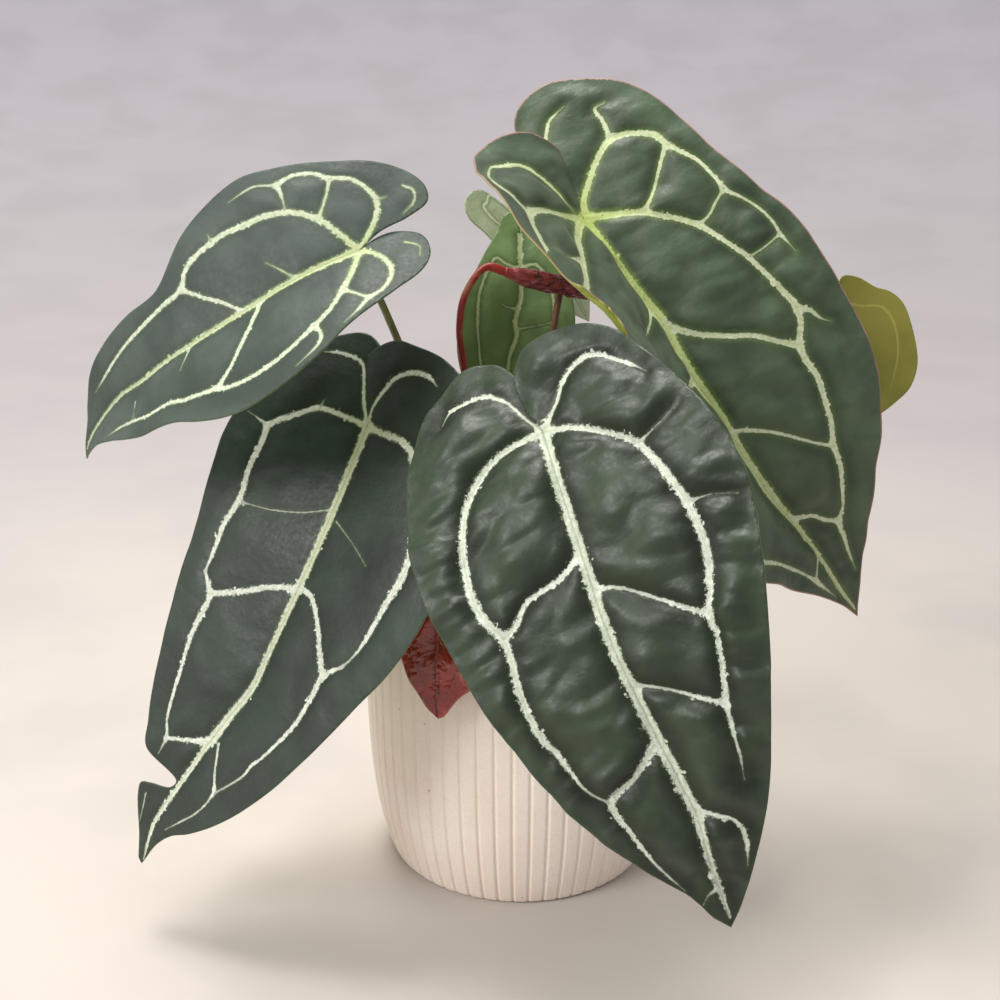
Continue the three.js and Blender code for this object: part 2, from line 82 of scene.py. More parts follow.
def add_soft_light(name, place, target, diameter, watts, color):
    data = bpy.data.lights.new(name, "AREA")
    data.shape = "DISK"
    data.size = diameter * MM
    data.energy = watts
    data.color = color
    light = bpy.data.objects.new(name, data)
    light.location = Vector(place) * MM
    aim = Vector(target) - Vector(place)
    light.rotation_euler = aim.to_track_quat("-Z", "Y").to_euler()
    bpy.context.scene.collection.objects.link(light)


def add_lights():
    for light in SOFT_LIGHTS:
        add_soft_light(*light)
    world = bpy.data.worlds.new("studio_air")
    bpy.context.scene.world = world
    world.use_nodes = True
    air = world.node_tree.nodes["Background"]
    air.inputs["Color"].default_value = AIR_COLOR
    air.inputs["Strength"].default_value = AIR_STRENGTH
    bpy.context.scene.view_settings.view_transform = "Standard"


# ---- numbers along curves ----

SPAN_STEPS = 24  # points worked out between two points of a curve, before they are spaced evenly


def spline(points, step):
    """Points about `step` apart on the centripetal Catmull-Rom curve through `points`."""
    knots = np.array(points, float)
    knots = np.vstack([2 * knots[0] - knots[1], knots, 2 * knots[-1] - knots[-2]])
    gaps = np.linalg.norm(np.diff(knots, axis=0), axis=1) ** 0.5
    t = np.linspace(0, 1, SPAN_STEPS, endpoint=False)[:, None]
    spans = []
    for i in range(1, len(knots) - 2):
        p0, p1, p2, p3 = knots[i - 1 : i + 3]
        g0, g1, g2 = gaps[i - 1 : i + 2]
        leave = ((p1 - p0) / g0 - (p2 - p0) / (g0 + g1) + (p2 - p1) / g1) * g1
        arrive = ((p2 - p1) / g1 - (p3 - p1) / (g1 + g2) + (p3 - p2) / g2) * g1
        square = 3 * (p2 - p1) - 2 * leave - arrive
        cube = 2 * (p1 - p2) + leave + arrive
        spans.append(p1 + t * leave + t**2 * square + t**3 * cube)
    return respaced(np.vstack(spans + [knots[-2:-1]]), step)


def respaced(line, step):
    """The same line with its points evenly spaced, about `step` apart."""
    travelled = np.concatenate([[0], np.cumsum(np.linalg.norm(np.diff(line, axis=0), axis=1))])
    count = max(2, round(travelled[-1] / step) + 1)
    at = np.linspace(0, travelled[-1], count)
    return np.column_stack([np.interp(at, travelled, column) for column in line.T])


def smoothstep(value, low=0.0, high=1.0):
    t = np.clip((value - low) / (high - low), 0, 1)
    return t * t * (3 - 2 * t)


def lerp(a, b, t):
    return a + (b - a) * t


def unit(vector):
    return vector / np.linalg.norm(vector)


def turned(vector, axis, degrees):
    """The vector turned about a unit axis."""
    angle = math.radians(degrees)
    across = np.cross(axis, vector)
    return (
        vector * math.cos(angle)
        + across * math.sin(angle)
        + axis * np.dot(axis, vector) * (1 - math.cos(angle))
    )


def noise_values(points, size):
    """Smooth noise from -1 to 1 whose bumps are about `size` across."""
    scaled = np.asarray(points) / size
    return np.array([noise.noise(Vector(p)) for p in scaled])


def cell_ridges(points):
    """0 on the borders between random cells about 1 across, rising to about 1 inside."""
    ridges = np.empty(len(points))
    for i, p in enumerate(points):
        near, second = noise.voronoi(Vector(p))[0][:2]
        ridges[i] = second - near
    return np.clip(ridges, 0, 1)


# ---- meshes ----

TUBE_SIDE = (0.3, 0.9, 0.1)  # sets where a tube's rings begin: no tube starts in this direction
LEAST_LENGTH = 1e-6


def add_piece(name, points, faces, material, replaced, values=None):
    """A smooth mesh piece that rides on the plant's only body and stands for CAD nodes."""
    mesh = bpy.data.meshes.new(name)
    mesh.from_pydata((np.asarray(points) * MM).tolist(), [], [list(map(int, f)) for f in faces])
    for key, value in (values or {}).items():
        is_vector = np.ndim(value) == 2
        kind = "FLOAT_VECTOR" if is_vector else "FLOAT"
        attribute = mesh.attributes.new(key, kind, "POINT")
        flat = np.ascontiguousarray(value, dtype=np.float32).ravel()
        attribute.data.foreach_set("vector" if is_vector else "value", flat)
    mesh.shade_smooth()
    mesh.materials.append(material)
    piece = bpy.data.objects.new(name, mesh)
    bpy.context.scene.collection.objects.link(piece)
    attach(piece, BODY)
    if replaced:
        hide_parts(*replaced)
    return piece


def grid_faces(rows, columns, wrap=False):
    """Quads of a grid of points in rows, whose columns may join up into rings."""
    width = columns if wrap else columns + 1
    i, j = np.meshgrid(np.arange(rows), np.arange(columns), indexing="ij")
    nxt = (j + 1) % width
    quads = np.stack([i * width + j, i * width + nxt, (i + 1) * width + nxt, (i + 1) * width + j])
    return quads.reshape(4, -1).T


def ring(radius, angles, z):
    """Points round the Z axis at one height. The radius may differ from point to point."""
    return np.column_stack([radius * np.cos(angles), radius * np.sin(angles), angles * 0 + z])


def vertex_normals(points, triangles):
    corners = points[triangles]
    face = np.cross(corners[:, 1] - corners[:, 0], corners[:, 2] - corners[:, 0])
    normals = np.zeros_like(points)
    for k in range(3):
        np.add.at(normals, triangles[:, k], face)
    return normals / np.linalg.norm(normals, axis=1)[:, None]


def smoothed(values, triangles, rounds):
    """Values at a mesh's points, each averaged with its neighbours' a few times over."""
    for _ in range(rounds):
        total = values.copy()
        count = np.ones(len(values))
        corner_sum = values[triangles].sum(axis=1)
        for k in range(3):
            np.add.at(total, triangles[:, k], corner_sum - values[triangles[:, k]])
            np.add.at(count, triangles[:, k], 2)
        values = total / count
    return values


def rim_edges(triangles):
    """The edges that only one triangle has, in that triangle's direction."""
    edges = np.vstack([triangles[:, [0, 1]], triangles[:, [1, 2]], triangles[:, [2, 0]]])
    _, place, count = np.unique(np.sort(edges), axis=0, return_inverse=True, return_counts=True)
    return edges[count[place.ravel()] == 1]


def closed_shell(middle, triangles, thickness):
    """A sheet of even thickness round a middle surface: its points, faces and underside flags."""
    normals = vertex_normals(middle, triangles)
    count = len(middle)
    points = np.vstack([middle + normals * thickness / 2, middle - normals * thickness / 2])
    start, end = rim_edges(triangles).T
    rim = np.column_stack([end, start, start + count, end + count])
    faces = triangles.tolist() + (triangles[:, ::-1] + count).tolist() + rim.tolist()
    return points, faces, np.repeat([0.0, 1.0], count)


def tube(line, radii, sides, shape):
    """A closed round bar along a line. `shape(row, angles)` scales its radius round each ring."""
    tangents = np.gradient(line, axis=0)
    tangents /= np.linalg.norm(tangents, axis=1)[:, None]
    angles = np.linspace(0, 2 * math.pi, sides, endpoint=False)
    side = unit(np.cross(tangents[0], TUBE_SIDE))
    rings = []
    for row, (centre, tangent, radius) in enumerate(zip(line, tangents, radii)):
        side = unit(side - tangent * np.dot(side, tangent))
        other = np.cross(tangent, side)
        scale = radius * shape(row, angles)
        around = np.outer(scale * np.cos(angles), side) + np.outer(scale * np.sin(angles), other)
        rings.append(centre + around)
    points = np.vstack(rings + [line[:1], line[-1:]])
    faces = grid_faces(len(line) - 1, sides, wrap=True).tolist()
    first, last = len(points) - 2, len(points) - 1
    top = (len(line) - 1) * sides
    for j in range(sides):
        k = (j + 1) % sides
        faces.append([first, k, j])
        faces.append([last, top + j, top + k])
    return points, faces


# ---- shader graphs ----

# A noise lies round 0.5. These are parts of its range that a colour or a gloss is eased over.
ALL_OF_NOISE = (0.3, 0.7)
MOST_OF_NOISE = (0.35, 0.65)
CRESTS = (0.45, 0.75)
HIGH_CRESTS = (0.55, 0.75)

BLACK = "000000"
SHEEN_ROUGHNESS = 0.45


def rgb(code):
    """A screen colour such as '8fa05a' as the linear colour that a shader takes."""
    channels = [int(code[i : i + 2], 16) / 255 for i in (0, 2, 4)]
    linear = [c / 12.92 if c <= 0.04045 else ((c + 0.055) / 1.055) ** 2.4 for c in channels]
    return (*linear, 1)


class Graph:
    """A material's node graph, made by short calls. Textures are sized in millimetres."""

    def __init__(self, name):
        self.material = bpy.data.materials.new(name)
        self.material.use_nodes = True
        self.tree = self.material.node_tree
        self.surface = self.tree.nodes["Principled BSDF"]

    def node(self, kind, inputs=None, **settings):
        made = self.tree.nodes.new("ShaderNode" + kind)
        for key, value in settings.items():
            setattr(made, key, value)
        for key, value in (inputs or {}).items():
            self.feed(made.inputs[key], value)
        return made

    def feed(self, socket, value):
        """Sets a socket to another node's output, a screen colour or a plain value."""
        if isinstance(value, bpy.types.NodeSocket):
            self.tree.links.new(value, socket)
        else:
            socket.default_value = rgb(value) if isinstance(value, str) else value

    def value(self, name):
        return self.node("Attribute", attribute_name=name).outputs["Fac"]

    def place(self, name):
        return self.node("Attribute", attribute_name=name).outputs["Vector"]

    def object_place(self):
        """The place on the object in millimetres."""
        coords = self.node("TexCoord").outputs["Object"]
        return self.scaled(coords, [1 / MM] * 3)

    def scaled(self, vector, scale):
        inputs = {0: vector, 1: scale}
        return self.node("VectorMath", inputs, operation="MULTIPLY").outputs[0]

    def noise(self, place, size, detail=2.0, roughness=0.5):
        inputs = {"Vector": place, "Scale": 1 / size, "Detail": detail, "Roughness": roughness}
        return self.node("TexNoise", inputs).outputs["Fac"]

    def swing(self, place, size, height, detail=2.0, roughness=0.5):
        """Noise centred on zero, spread so that its whole range would be `height`."""
        centred = self.math("SUBTRACT", self.noise(place, size, detail, roughness), 0.5)
        return self.times(centred, height)

    def cells(self, place, size):
        """The distance to the middle of the nearest of random cells, as a share of their size."""
        inputs = {"Vector": place, "Scale": 1 / size}
        return self.node("TexVoronoi", inputs).outputs["Distance"]

    def math(self, operation, a, b):
        return self.node("Math", {0: a, 1: b}, operation=operation).outputs[0]

    def times(self, a, b):
        return self.math("MULTIPLY", a, b)

    def remap(self, value, low, high, to_low=0.0, to_high=1.0):
        """The value eased from low..high to to_low..to_high, and held at both ends."""
        inputs = {"Value": value, "To Min": to_low, "To Max": to_high}
        if low < high:
            inputs.update({"From Min": low, "From Max": high})
        else:
            inputs.update({"From Min": high, "From Max": low})
            inputs.update({"To Min": to_high, "To Max": to_low})
        return self.node("MapRange", inputs, interpolation_type="SMOOTHSTEP").outputs[0]

    def mix(self, share, a, b):
        """The colour that lies this share of the way from a to b."""
        made = self.node("Mix", data_type="RGBA")
        self.feed(made.inputs["Factor"], share)
        self.feed(made.inputs[6], a)
        self.feed(made.inputs[7], b)
        return made.outputs[2]

    def bump(self, height, depth, below=None):
        """A bump of the given depth in millimetres for heights from 0 to 1."""
        inputs = {"Height": height, "Distance": depth * MM, "Strength": 1.0}
        made = self.node("Bump", inputs)
        if below is not None:
            self.feed(made.inputs["Normal"], below)
        return made.outputs[0]

    def finish(self, color, roughness, normal=None, sheen=0.0, coat=0.0, specular=0.5):
        """Feeds the surface shader and returns the material."""
        self.feed(self.surface.inputs["Base Color"], color)
        self.feed(self.surface.inputs["Roughness"], roughness)
        if normal is not None:
            self.feed(self.surface.inputs["Normal"], normal)
        self.surface.inputs["Sheen Weight"].default_value = sheen
        self.surface.inputs["Sheen Roughness"].default_value = SHEEN_ROUGHNESS
        self.surface.inputs["Coat Weight"].default_value = coat
        self.surface.inputs["Specular IOR Level"].default_value = specular
        return self.material


# ---- leaf blades ----
# A blade is drawn flat at the place (a, s): a runs across it, with its right half at a > 0, and s
# runs along the midrib from the stalk (0) to the tip, with the lobes at s < 0. A fold lifts each
# half to its own side like an open book, and a curl bends it further, in degrees per 100 mm. Where
# they change along the blade, they are given at the lobes, at the stalk, at two places between and
# at the tip.

RIGHT, LEFT = 1, -1
STATIONS = np.array([-0.25, 0, 0.3, 0.6, 1])  # as shares of the blade's length
CURL_LENGTH = 100
GENTLE_CURL = -5
LEAST_CURL = 1e-6  # stands for none, because the arc is divided by it
BLADE_THICKNESS = 0.6
MIDRIB_TIP_WIDTH = 0.5
MIDRIB_SHARES = np.linspace(-0.5, 1.1, 801)  # where the midrib's curve is worked out

BLADE_SPACING = 1.0  # between the points of a blade's mesh
CLEARANCE = 0.4  # in spacings, between a loose point and a vein or an edge
SEAM_TOLERANCE = 1e-3  # points this close to the midrib belong to both halves
SEAM_DIGITS = 2  # of the place along the midrib by which the halves' points are matched
KEEP_INSIDE, MERGE_TOLERANCE = 1, 1e-5  # the triangulation keeps what lies inside its border

VEIN_SPACING = 0.5  # between the points that stand for a vein when distances are measured
FREE_END = 1.6  # an end further than this from every other vein is free, and tapers off
TAPER_LENGTH = 8
TAPER_SHARE = 0.2
MIDRIB_TINT_REACH = 150  # how far from the stalk the midrib keeps its tint
SIDE_TINT_REACH = 25
WEB = 0.75  # how softly veins run together where they meet
WEB_LIMIT = 30  # how far a vein still counts in its neighbours' webs


def at_station(values, share):
    """A value along the blade, eased between the stations."""
    values = np.broadcast_to(np.asarray(values, float), (len(STATIONS),))
    share = np.clip(share, STATIONS[0], STATIONS[-1])
    k = np.clip(np.searchsorted(STATIONS, share, side="right") - 1, 0, len(STATIONS) - 2)
    ease = smoothstep((share - STATIONS[k]) / (STATIONS[k + 1] - STATIONS[k]))
    return lerp(values[k], values[k + 1], ease)


class Blade:
    """Where each place (a, s) of a flat blade comes to lie once it is bent and put on its stalk."""

    def __init__(self, leaf):
        self.leaf = leaf
        along, _ = self.directions(MIDRIB_SHARES)
        steps = (along[1:] + along[:-1]) / 2 * np.diff(MIDRIB_SHARES)[:, None]
        travelled = np.vstack([[0, 0, 0], np.cumsum(steps, axis=0)])
        start = [np.interp(0, MIDRIB_SHARES, column) for column in travelled.T]
        self.offsets = travelled - start
        self.put_in_place()
        self.midrib = self.midrib_line()

    def directions(self, share):
        """The midrib's direction and its upward normal, before the blade is put in place."""
        ahead = np.maximum(share, 0)
        behind = np.minimum(share, 0)
        down = np.radians(self.leaf["droop"] * ahead + self.leaf.get("lobe_rise", 0) * behind)
        aside = np.radians(self.leaf.get("sweep", 0) * ahead)
        along = [np.cos(down) * np.cos(aside), -np.sin(down) * np.cos(aside), np.sin(aside)]
        up = [np.sin(down), np.cos(down), np.zeros_like(down)]
        return np.stack(along, axis=-1), np.stack(up, axis=-1)

    def put_in_place(self):
        """Finds the turn and the length that put the midrib's ends on the leaf's two points."""
        self.attach = np.array(self.leaf["attach"], float)
        chord = np.array(self.leaf["tip"], float) - self.attach
        bent = np.array([np.interp(1, MIDRIB_SHARES, column) for column in self.offsets.T])
        along = unit(chord)
        level = unit(np.array([0, 0, 1]) - along * along[2])
        up = turned(level, along, -self.leaf["roll"])
        bent_along = unit(bent)
        bent_up = unit(np.array([0, 1, 0]) - bent_along * bent_along[1])
        self.turn = self.basis(along, up) @ self.basis(bent_along, bent_up).T
        self.length = np.linalg.norm(chord) / np.linalg.norm(bent)

    @staticmethod
    def basis(along, up):
        return np.column_stack([along, up, np.cross(up, along)])

    def midrib_line(self):
        """The drawn midrib (a, s, width), which wanders a little about the fold."""
        drawn = self.leaf["veins"][0][1]
        tip = (*self.leaf["right"]["outline"][-1], MIDRIB_TIP_WIDTH)
        return spline([*drawn, tip], BLADE_SPACING)

    def upward(self):
        return self.turn @ self.directions(np.array(0.0))[1]

    def half(self, side):
        return self.leaf["right" if side == RIGHT else "left"]

    def points(self, side, a, s):
        share = s / self.length
        half = self.half(side)
        fold = np.radians(at_station(half["fold"], share))
        curl = np.radians(at_station(half.get("curl", GENTLE_CURL), share)) / CURL_LENGTH
        curl = np.where(np.abs(curl) < LEAST_CURL, LEAST_CURL, curl)
        middle = np.interp(s, self.midrib[:, 1], self.midrib[:, 0], left=0)
        d = side * (a - middle)
        out = (np.sin(fold + curl * d) - np.sin(fold)) / curl
        rise = (np.cos(fold) - np.cos(fold + curl * d)) / curl
        rise += half.get("lobe_lift", 0) * np.clip(share / STATIONS[0], 0, 1)
        along, up = self.directions(share)
        across = np.cross(up, along)
        across /= np.linalg.norm(across, axis=1)[:, None]
        true_up = np.cross(along, across)
        offset = [np.interp(share, MIDRIB_SHARES, column) for column in self.offsets.T]
        local = self.length * np.column_stack(offset)
        local += (middle + side * out)[:, None] * across + rise[:, None] * true_up
        return local @ self.turn.T + self.attach

    def nearest_edge(self, side, flat):
        """Where the place of a half's outline nearest to each flat place comes to lie."""
        outline = half_outline(self, side)
        edge = outline[nearest(tree_of(outline), flat)[0]]
        return self.points(side, edge[:, 0], edge[:, 1])


def inside(points, border):
    """Which points lie inside a closed border."""
    x, y = points.T
    hits = np.zeros(len(points), bool)
    for (x0, y0), (x1, y1) in zip(border, np.roll(border, -1, axis=0)):
        if y0 != y1:
            crosses = (y0 > y) != (y1 > y)
            hits ^= crosses & (x < x0 + (y - y0) * (x1 - x0) / (y1 - y0))
    return hits


def tree_of(points):
    tree = kdtree.KDTree(len(points))
    for i, (x, y) in enumerate(points):
        tree.insert((x, y, 0), i)
    tree.balance()
    return tree


def nearest(tree, points):
    """The number of each point's nearest neighbour in the tree, and the distance to it."""
    found = [tree.find((x, y, 0)) for x, y in points]
    return np.array([f[1] for f in found]), np.array([f[2] for f in found])


def hexagonal_grid(low, high, spacing):
    rows = np.arange(low[1], high[1], spacing * math.sqrt(3) / 2)
    columns = np.arange(low[0], high[0], spacing)
    x, y = np.meshgrid(columns, rows)
    x[1::2] += spacing / 2
    return np.column_stack([x.ravel(), y.ravel()])


def flat_half(blade, veins, outline):
    """The flat mesh of one half, with points along its outline, its midrib and its veins."""
    back = blade.midrib[::-1, :2]
    border = np.vstack([outline[:-1], back[:-1]])
    border_tree = tree_of(border)
    edges = [(i, (i + 1) % len(border)) for i in range(len(border))]
    fixed = [border]
    count = len(border)
    for vein in veins:
        line = vein[:, :2]
        clear = inside(line, border) & (nearest(border_tree, line)[1] > CLEARANCE * BLADE_SPACING)
        kept = np.flatnonzero(clear)
        fixed.append(line[kept])
        for i in range(len(kept) - 1):
            if kept[i + 1] == kept[i] + 1:
                edges.append((count + i, count + i + 1))
        count += len(kept)
    fixed = np.vstack(fixed)
    grid = hexagonal_grid(border.min(0), border.max(0), BLADE_SPACING)
    within = grid[inside(grid, border)]
    within = within[nearest(tree_of(fixed), within)[1] > CLEARANCE * BLADE_SPACING]
    loose = [Vector(p) for p in np.vstack([fixed, within])]
    made = delaunay_2d_cdt(loose, edges, [], KEEP_INSIDE, MERGE_TOLERANCE)
    return np.array([tuple(p) for p in made[0]]), np.array(made[2])


def half_outline(blade, side):
    outline = spline(blade.half(side)["outline"], BLADE_SPACING)
    outline[:, 0] *= side
    outline[-1] = blade.midrib[-1, :2]
    return outline


def tapered(line, others):
    """The vein (a, s, width) with its last stretch thinned if it ends on no other vein."""
    if nearest(tree_of(others[:, :2]), line[-1:, :2])[1][0] < FREE_END:
        return line
    left = VEIN_SPACING * np.arange(len(line))[::-1]
    thinned = line.copy()
    thinned[:, 2] *= lerp(TAPER_SHARE, 1, smoothstep(left, 0, TAPER_LENGTH))
    return thinned


def vein_fields(lines, flat):
    """Each point's distance to its nearest vein, that vein's half width, how strongly it has the
    midrib's tint, and the distance to the veins' edges, webbed where they meet."""
    from_stalk = np.linalg.norm(flat, axis=1)
    best = np.full(len(flat), np.inf)
    half_width = np.zeros(len(flat))
    tint = np.zeros(len(flat))
    web = np.zeros(len(flat))
    for number, line in enumerate(lines):
        which, distance = nearest(tree_of(line[:, :2]), flat)
        width = line[which, 2] / 2
        closer = distance < best
        best[closer] = distance[closer]
        half_width[closer] = width[closer]
        reach = SIDE_TINT_REACH if number else MIDRIB_TINT_REACH
        tint[closer] = np.exp(-from_stalk[closer] / reach)
        web += np.exp(-np.minimum(distance - width, WEB_LIMIT) / WEB)
    return best, half_width, tint, -WEB * np.log(web)


def drawn_veins(lines):
    """The veins as closely spaced points, with their free ends thinned."""
    dense = [spline(line, VEIN_SPACING) for line in lines]
    drawn = dense[:1]
    for k in range(1, len(dense)):
        others = np.vstack(dense[:k] + dense[k + 1 :])
        drawn.append(tapered(dense[k], others))
    return drawn


def add_rows(rows, seam, table, shared):
    """Adds a half's points to the blade's rows, and returns their numbers there. A point on the
    midrib that the other half has added already keeps its number."""
    numbers = np.empty(len(table), int)
    for i, row in enumerate(table):
        along = round(row[1], SEAM_DIGITS)
        if shared[i] and along in seam:
            numbers[i] = seam[along]
            continue
        if shared[i]:
            seam[along] = len(rows)
        numbers[i] = len(rows)
        rows.append(row)
    return numbers


def flat_blade(blade):
    """Both halves' flat meshes, joined along the midrib, with what the relief and looks need."""
    triangles, rows, seam = [], [], {}
    for side in (RIGHT, LEFT):
        lines = [line for owner, line in blade.leaf["veins"] if owner in (0, side)]
        outline = half_outline(blade, side)
        flat, tris = flat_half(blade, [spline(v, BLADE_SPACING) for v in lines[1:]], outline)
        edge_number, margin = nearest(tree_of(outline), flat)
        arc = edge_number * BLADE_SPACING
        veins = vein_fields(drawn_veins(lines), flat)
        table = np.column_stack([flat, np.full(len(flat), side), *veins, margin, arc])
        middle = np.interp(flat[:, 1], blade.midrib[:, 1], blade.midrib[:, 0])
        shared = (np.abs(flat[:, 0] - middle) < SEAM_TOLERANCE) & (flat[:, 1] >= 0)
        numbers = add_rows(rows, seam, table, shared)
        triangles.append(numbers[tris][:, ::-1])
    table = np.array(rows)
    return (np.vstack(triangles), table[:, :2], *table[:, 2:].T)


# The relief stands up from the bent blade.
FOLD_SLANT, FOLD_TURN = 14, 50  # the folds leave the midrib towards the tip, and then level out
FOLD_CELL = (26, 11)  # their size across the blade and along it
FOLD_ZONE = (3, 11)  # from the margin to where the folds are whole
RIPPLE_CELL = (4, 16)  # along the margin and away from it
RIPPLE_RISE = (0, 3)  # the ripples start just inside the margin,
RIPPLE_ZONE = (12, 20)  # and fade out between these distances from it
RIPPLE_START = (-25, 20)  # the lobes stay smoother
WAVE_REACH = 10  # how far in from the margin its wave reaches
WAVE_CALM = 5  # how far from a vein the wave is held down
MARGIN_DOME, MARGIN_SLOPE = 0.15, 15  # the dome's share at the margin, and where it is whole
PUFF_SIZES = (14, 7)
FINE_PUFF = 0.12  # the small puffs' height as a share of the large ones'
SMOOTH_ROUNDS = 3
VEIN_CALM = 2.5  # how far from a vein the blade stays smooth

# A hem is a strip along the margin that is rolled up over the blade's upper side.
HEM_WIDTH = 3.4
HEM_RADIUS = 1.2

# How far apart the two halves' noises are taken, so that the halves don't mirror each other.
FOLD_SHIFT, RIPPLE_SHIFT, PUFF_SHIFT, WAVE_SHIFT, SKIN_SHIFT = 10, 20, 30, 40, 50


def fold_place(flat):
    """How far from the midrib each place is, and how far along the folds' own direction."""
    across = np.abs(flat[:, 0])
    return across, flat[:, 1] - FOLD_SLANT * (1 - np.exp(-across / FOLD_TURN))


def fold_height(flat, margin, side):
    """Folds that run side by side from the midrib to the margin, from 0 to 1."""
    across, along = fold_place(flat)
    cells = np.column_stack([across / FOLD_CELL[0], along / FOLD_CELL[1], side * FOLD_SHIFT])
    return (1 - (1 - cell_ridges(cells)) ** 2) * smoothstep(margin, *FOLD_ZONE)


def puff_height(flat, side):
    """Broad puffs with small ones on them."""
    places = np.column_stack([*fold_place(flat), side * PUFF_SHIFT])
    broad, small = (noise_values(places, size) for size in PUFF_SIZES)
    return broad + FINE_PUFF * small


def ripple_height(flat, margin, arc, side):
    """Short ripples that stand across the margin."""
    cells = [arc / RIPPLE_CELL[0], margin / RIPPLE_CELL[1], side * RIPPLE_SHIFT]
    zone = smoothstep(margin, *RIPPLE_RISE) * (1 - smoothstep(margin, *RIPPLE_ZONE))
    zone *= smoothstep(flat[:, 1], *RIPPLE_START)
    return noise_values(np.column_stack(cells), 1) * zone


def wave_height(shape, flat, distance, margin, side):
    """The margin's slow wave."""
    wave = noise_values(np.column_stack([flat, side * WAVE_SHIFT]), shape["wave_size"])
    return wave * np.exp(-margin / WAVE_REACH) * (1 - np.exp(-distance / WAVE_CALM))


def blade_relief(shape, flat, distance, margin, arc, side):
    """The height of the puffed panels between the veins, and of their creases."""
    clear = 1 - np.exp(-distance / VEIN_CALM)
    height = shape["dome"] * (1 - np.exp(-distance / shape["dome_reach"]))
    height *= lerp(MARGIN_DOME, 1, smoothstep(margin, 0, MARGIN_SLOPE))
    height += shape["fold"] * fold_height(flat, margin, side) * clear
    height += shape["puff"] * puff_height(flat, side) * clear
    height += shape["ripple"] * ripple_height(flat, margin, arc, side) * clear
    return height + shape["wave"] * wave_height(shape, flat, distance, margin, side)


def rolled_hem(middle, triangles, margin, edge_points, share):
    """The sheet with a strip along its edge rolled up over its own upper side."""
    normals = vertex_normals(middle, triangles)
    turn = np.maximum(HEM_WIDTH * share - margin, 0) / HEM_RADIUS
    inward = middle - edge_points
    inward -= normals * np.sum(inward * normals, axis=1)[:, None]
    inward /= np.maximum(np.linalg.norm(inward, axis=1), LEAST_LENGTH)[:, None]
    back = (turn - np.sin(turn)) * HEM_RADIUS
    lift = (1 - np.cos(turn)) * HEM_RADIUS
    return middle + inward * back[:, None] + normals * lift[:, None]


def hemmed(blade, middle, triangles, flat, side, margin):
    """The sheet with the hems that its halves ask for."""
    for which in (RIGHT, LEFT):
        half = blade.half(which)
        if "hem" in half:
            rise_from, rise_to, fall_from, fall_to = half["hem"]
            share = smoothstep(flat[:, 1], rise_from, rise_to) * (side == which)
            share *= 1 - smoothstep(flat[:, 1], fall_from, fall_to)
            edge = blade.nearest_edge(which, flat)
            middle = rolled_hem(middle, triangles, margin, edge, share)
    return middle


def add_blade(name, leaf, material):
    blade = Blade(leaf)
    triangles, flat, side, distance, half_width, tint, vein_edge, margin, arc = flat_blade(blade)
    middle = np.empty((len(flat), 3))
    for which in (RIGHT, LEFT):
        mine = side == which
        middle[mine] = blade.points(which, flat[mine, 0], flat[mine, 1])
    height = blade_relief(leaf["relief"], flat, distance, margin, arc, side)
    height = smoothed(height, triangles, SMOOTH_ROUNDS)
    middle += vertex_normals(middle, triangles) * height[:, None]
    middle = hemmed(blade, middle, triangles, flat, side, margin)
    points, faces, underside = closed_shell(middle, triangles, BLADE_THICKNESS)
    fields = {
        "blade_place": np.column_stack([flat, side * SKIN_SHIFT]),
        "vein_distance": distance,
        "vein_half_width": half_width,
        "vein_edge": vein_edge,
        "vein_tint": tint,
        "margin_distance": margin,
    }
    values = {key: np.concatenate([field, field]) for key, field in fields.items()}
    values["underside"] = underside
    add_piece(f"{name}_lamina", points, faces, material, [f"{name}_blade"], values)
    return blade


# ---- leaf skins ----
# beside a vein, which reaches valley_shade_reach half widths
# A look holds colours as screen codes, lengths in millimetres and shares from 0 to 1:
#   deep, fresh               the blade's two greens, in wide drifts
#   painted_sheen(_color)     a painted sheen of pale grey-blue in the panels' middles
#   beside, valley_shade      a darker green: in clouds, and as painted shade in the valley
#   glow, glow_color          the lighter seam along a vein, which reaches glow_reach
#   vein, vein_shade          the veins' two tones
#   core, main_tint           the colour down a vein's middle, and of the midrib near the stalk
#   fray, thin                how ragged the veins are, and how strong the thinnest ones are
#   rim, rim_color            the line along the margin
#   belly, belly_fresh        the underside's two greens, with its veins in belly_vein
#   leather                   the depth of the fine wrinkles, beside the usual shader values

FRAYED_WIDTHS, LEAST_FRAY = (0.2, 1.3), 0.2  # a vein's half width sets how ragged it is
FRAY_WAVES = {"size": 1.3, "height": 2.4}
FRAY_TEETH = {"size": 0.45, "height": 3.6, "detail": 3, "roughness": 0.6}
SPUR_NOISE = {"size": 2.6, "detail": 1}
SPUR_CRESTS, SPUR_LENGTH = (0.62, 0.8), 1.3  # the noise's crests become spurs
EDGE_BLUR = (0.22, -0.18)  # from outside a vein's edge to inside it
STRONG_WIDTHS = (0.15, 0.8)  # half widths between which a vein reaches its full strength
CORE_LINE, CORE_WIDTHS, CORE_SHARE = (0.7, 0.1), (0.8, 1.6), 0.5  # only wide veins have a core
GLOW_TINT, LEAST_GLOW = (0, 0.8), 0.35  # the glow is stronger near the stalk
DRIFT_SIZE = 28
CLOUD_NOISE = {"size": 9, "detail": 3}
CLOUD_SHARE = 0.35
GRAIN_NOISE = {"size": 2.0, "detail": 4, "roughness": 0.6}
PANEL_MIDDLE = (2.5, 9)  # from a vein to where the painted sheen is whole
RIM_LINE = (0.8, 0.2)  # from the blade to its margin
VEIN_GRAIN = (0.35, 0.7)  # the grain's range that the veins' two tones share
BELLY_VEIN_SHARE = 0.55
GLOSS_SPREAD = (-0.05, 0.07)  # how far the roughness varies with the grain
WRINKLE_SIZE, WRINKLE_STRETCH = 3.0, (0.75, 1, 1)
GRAIN_DEPTH = 0.1
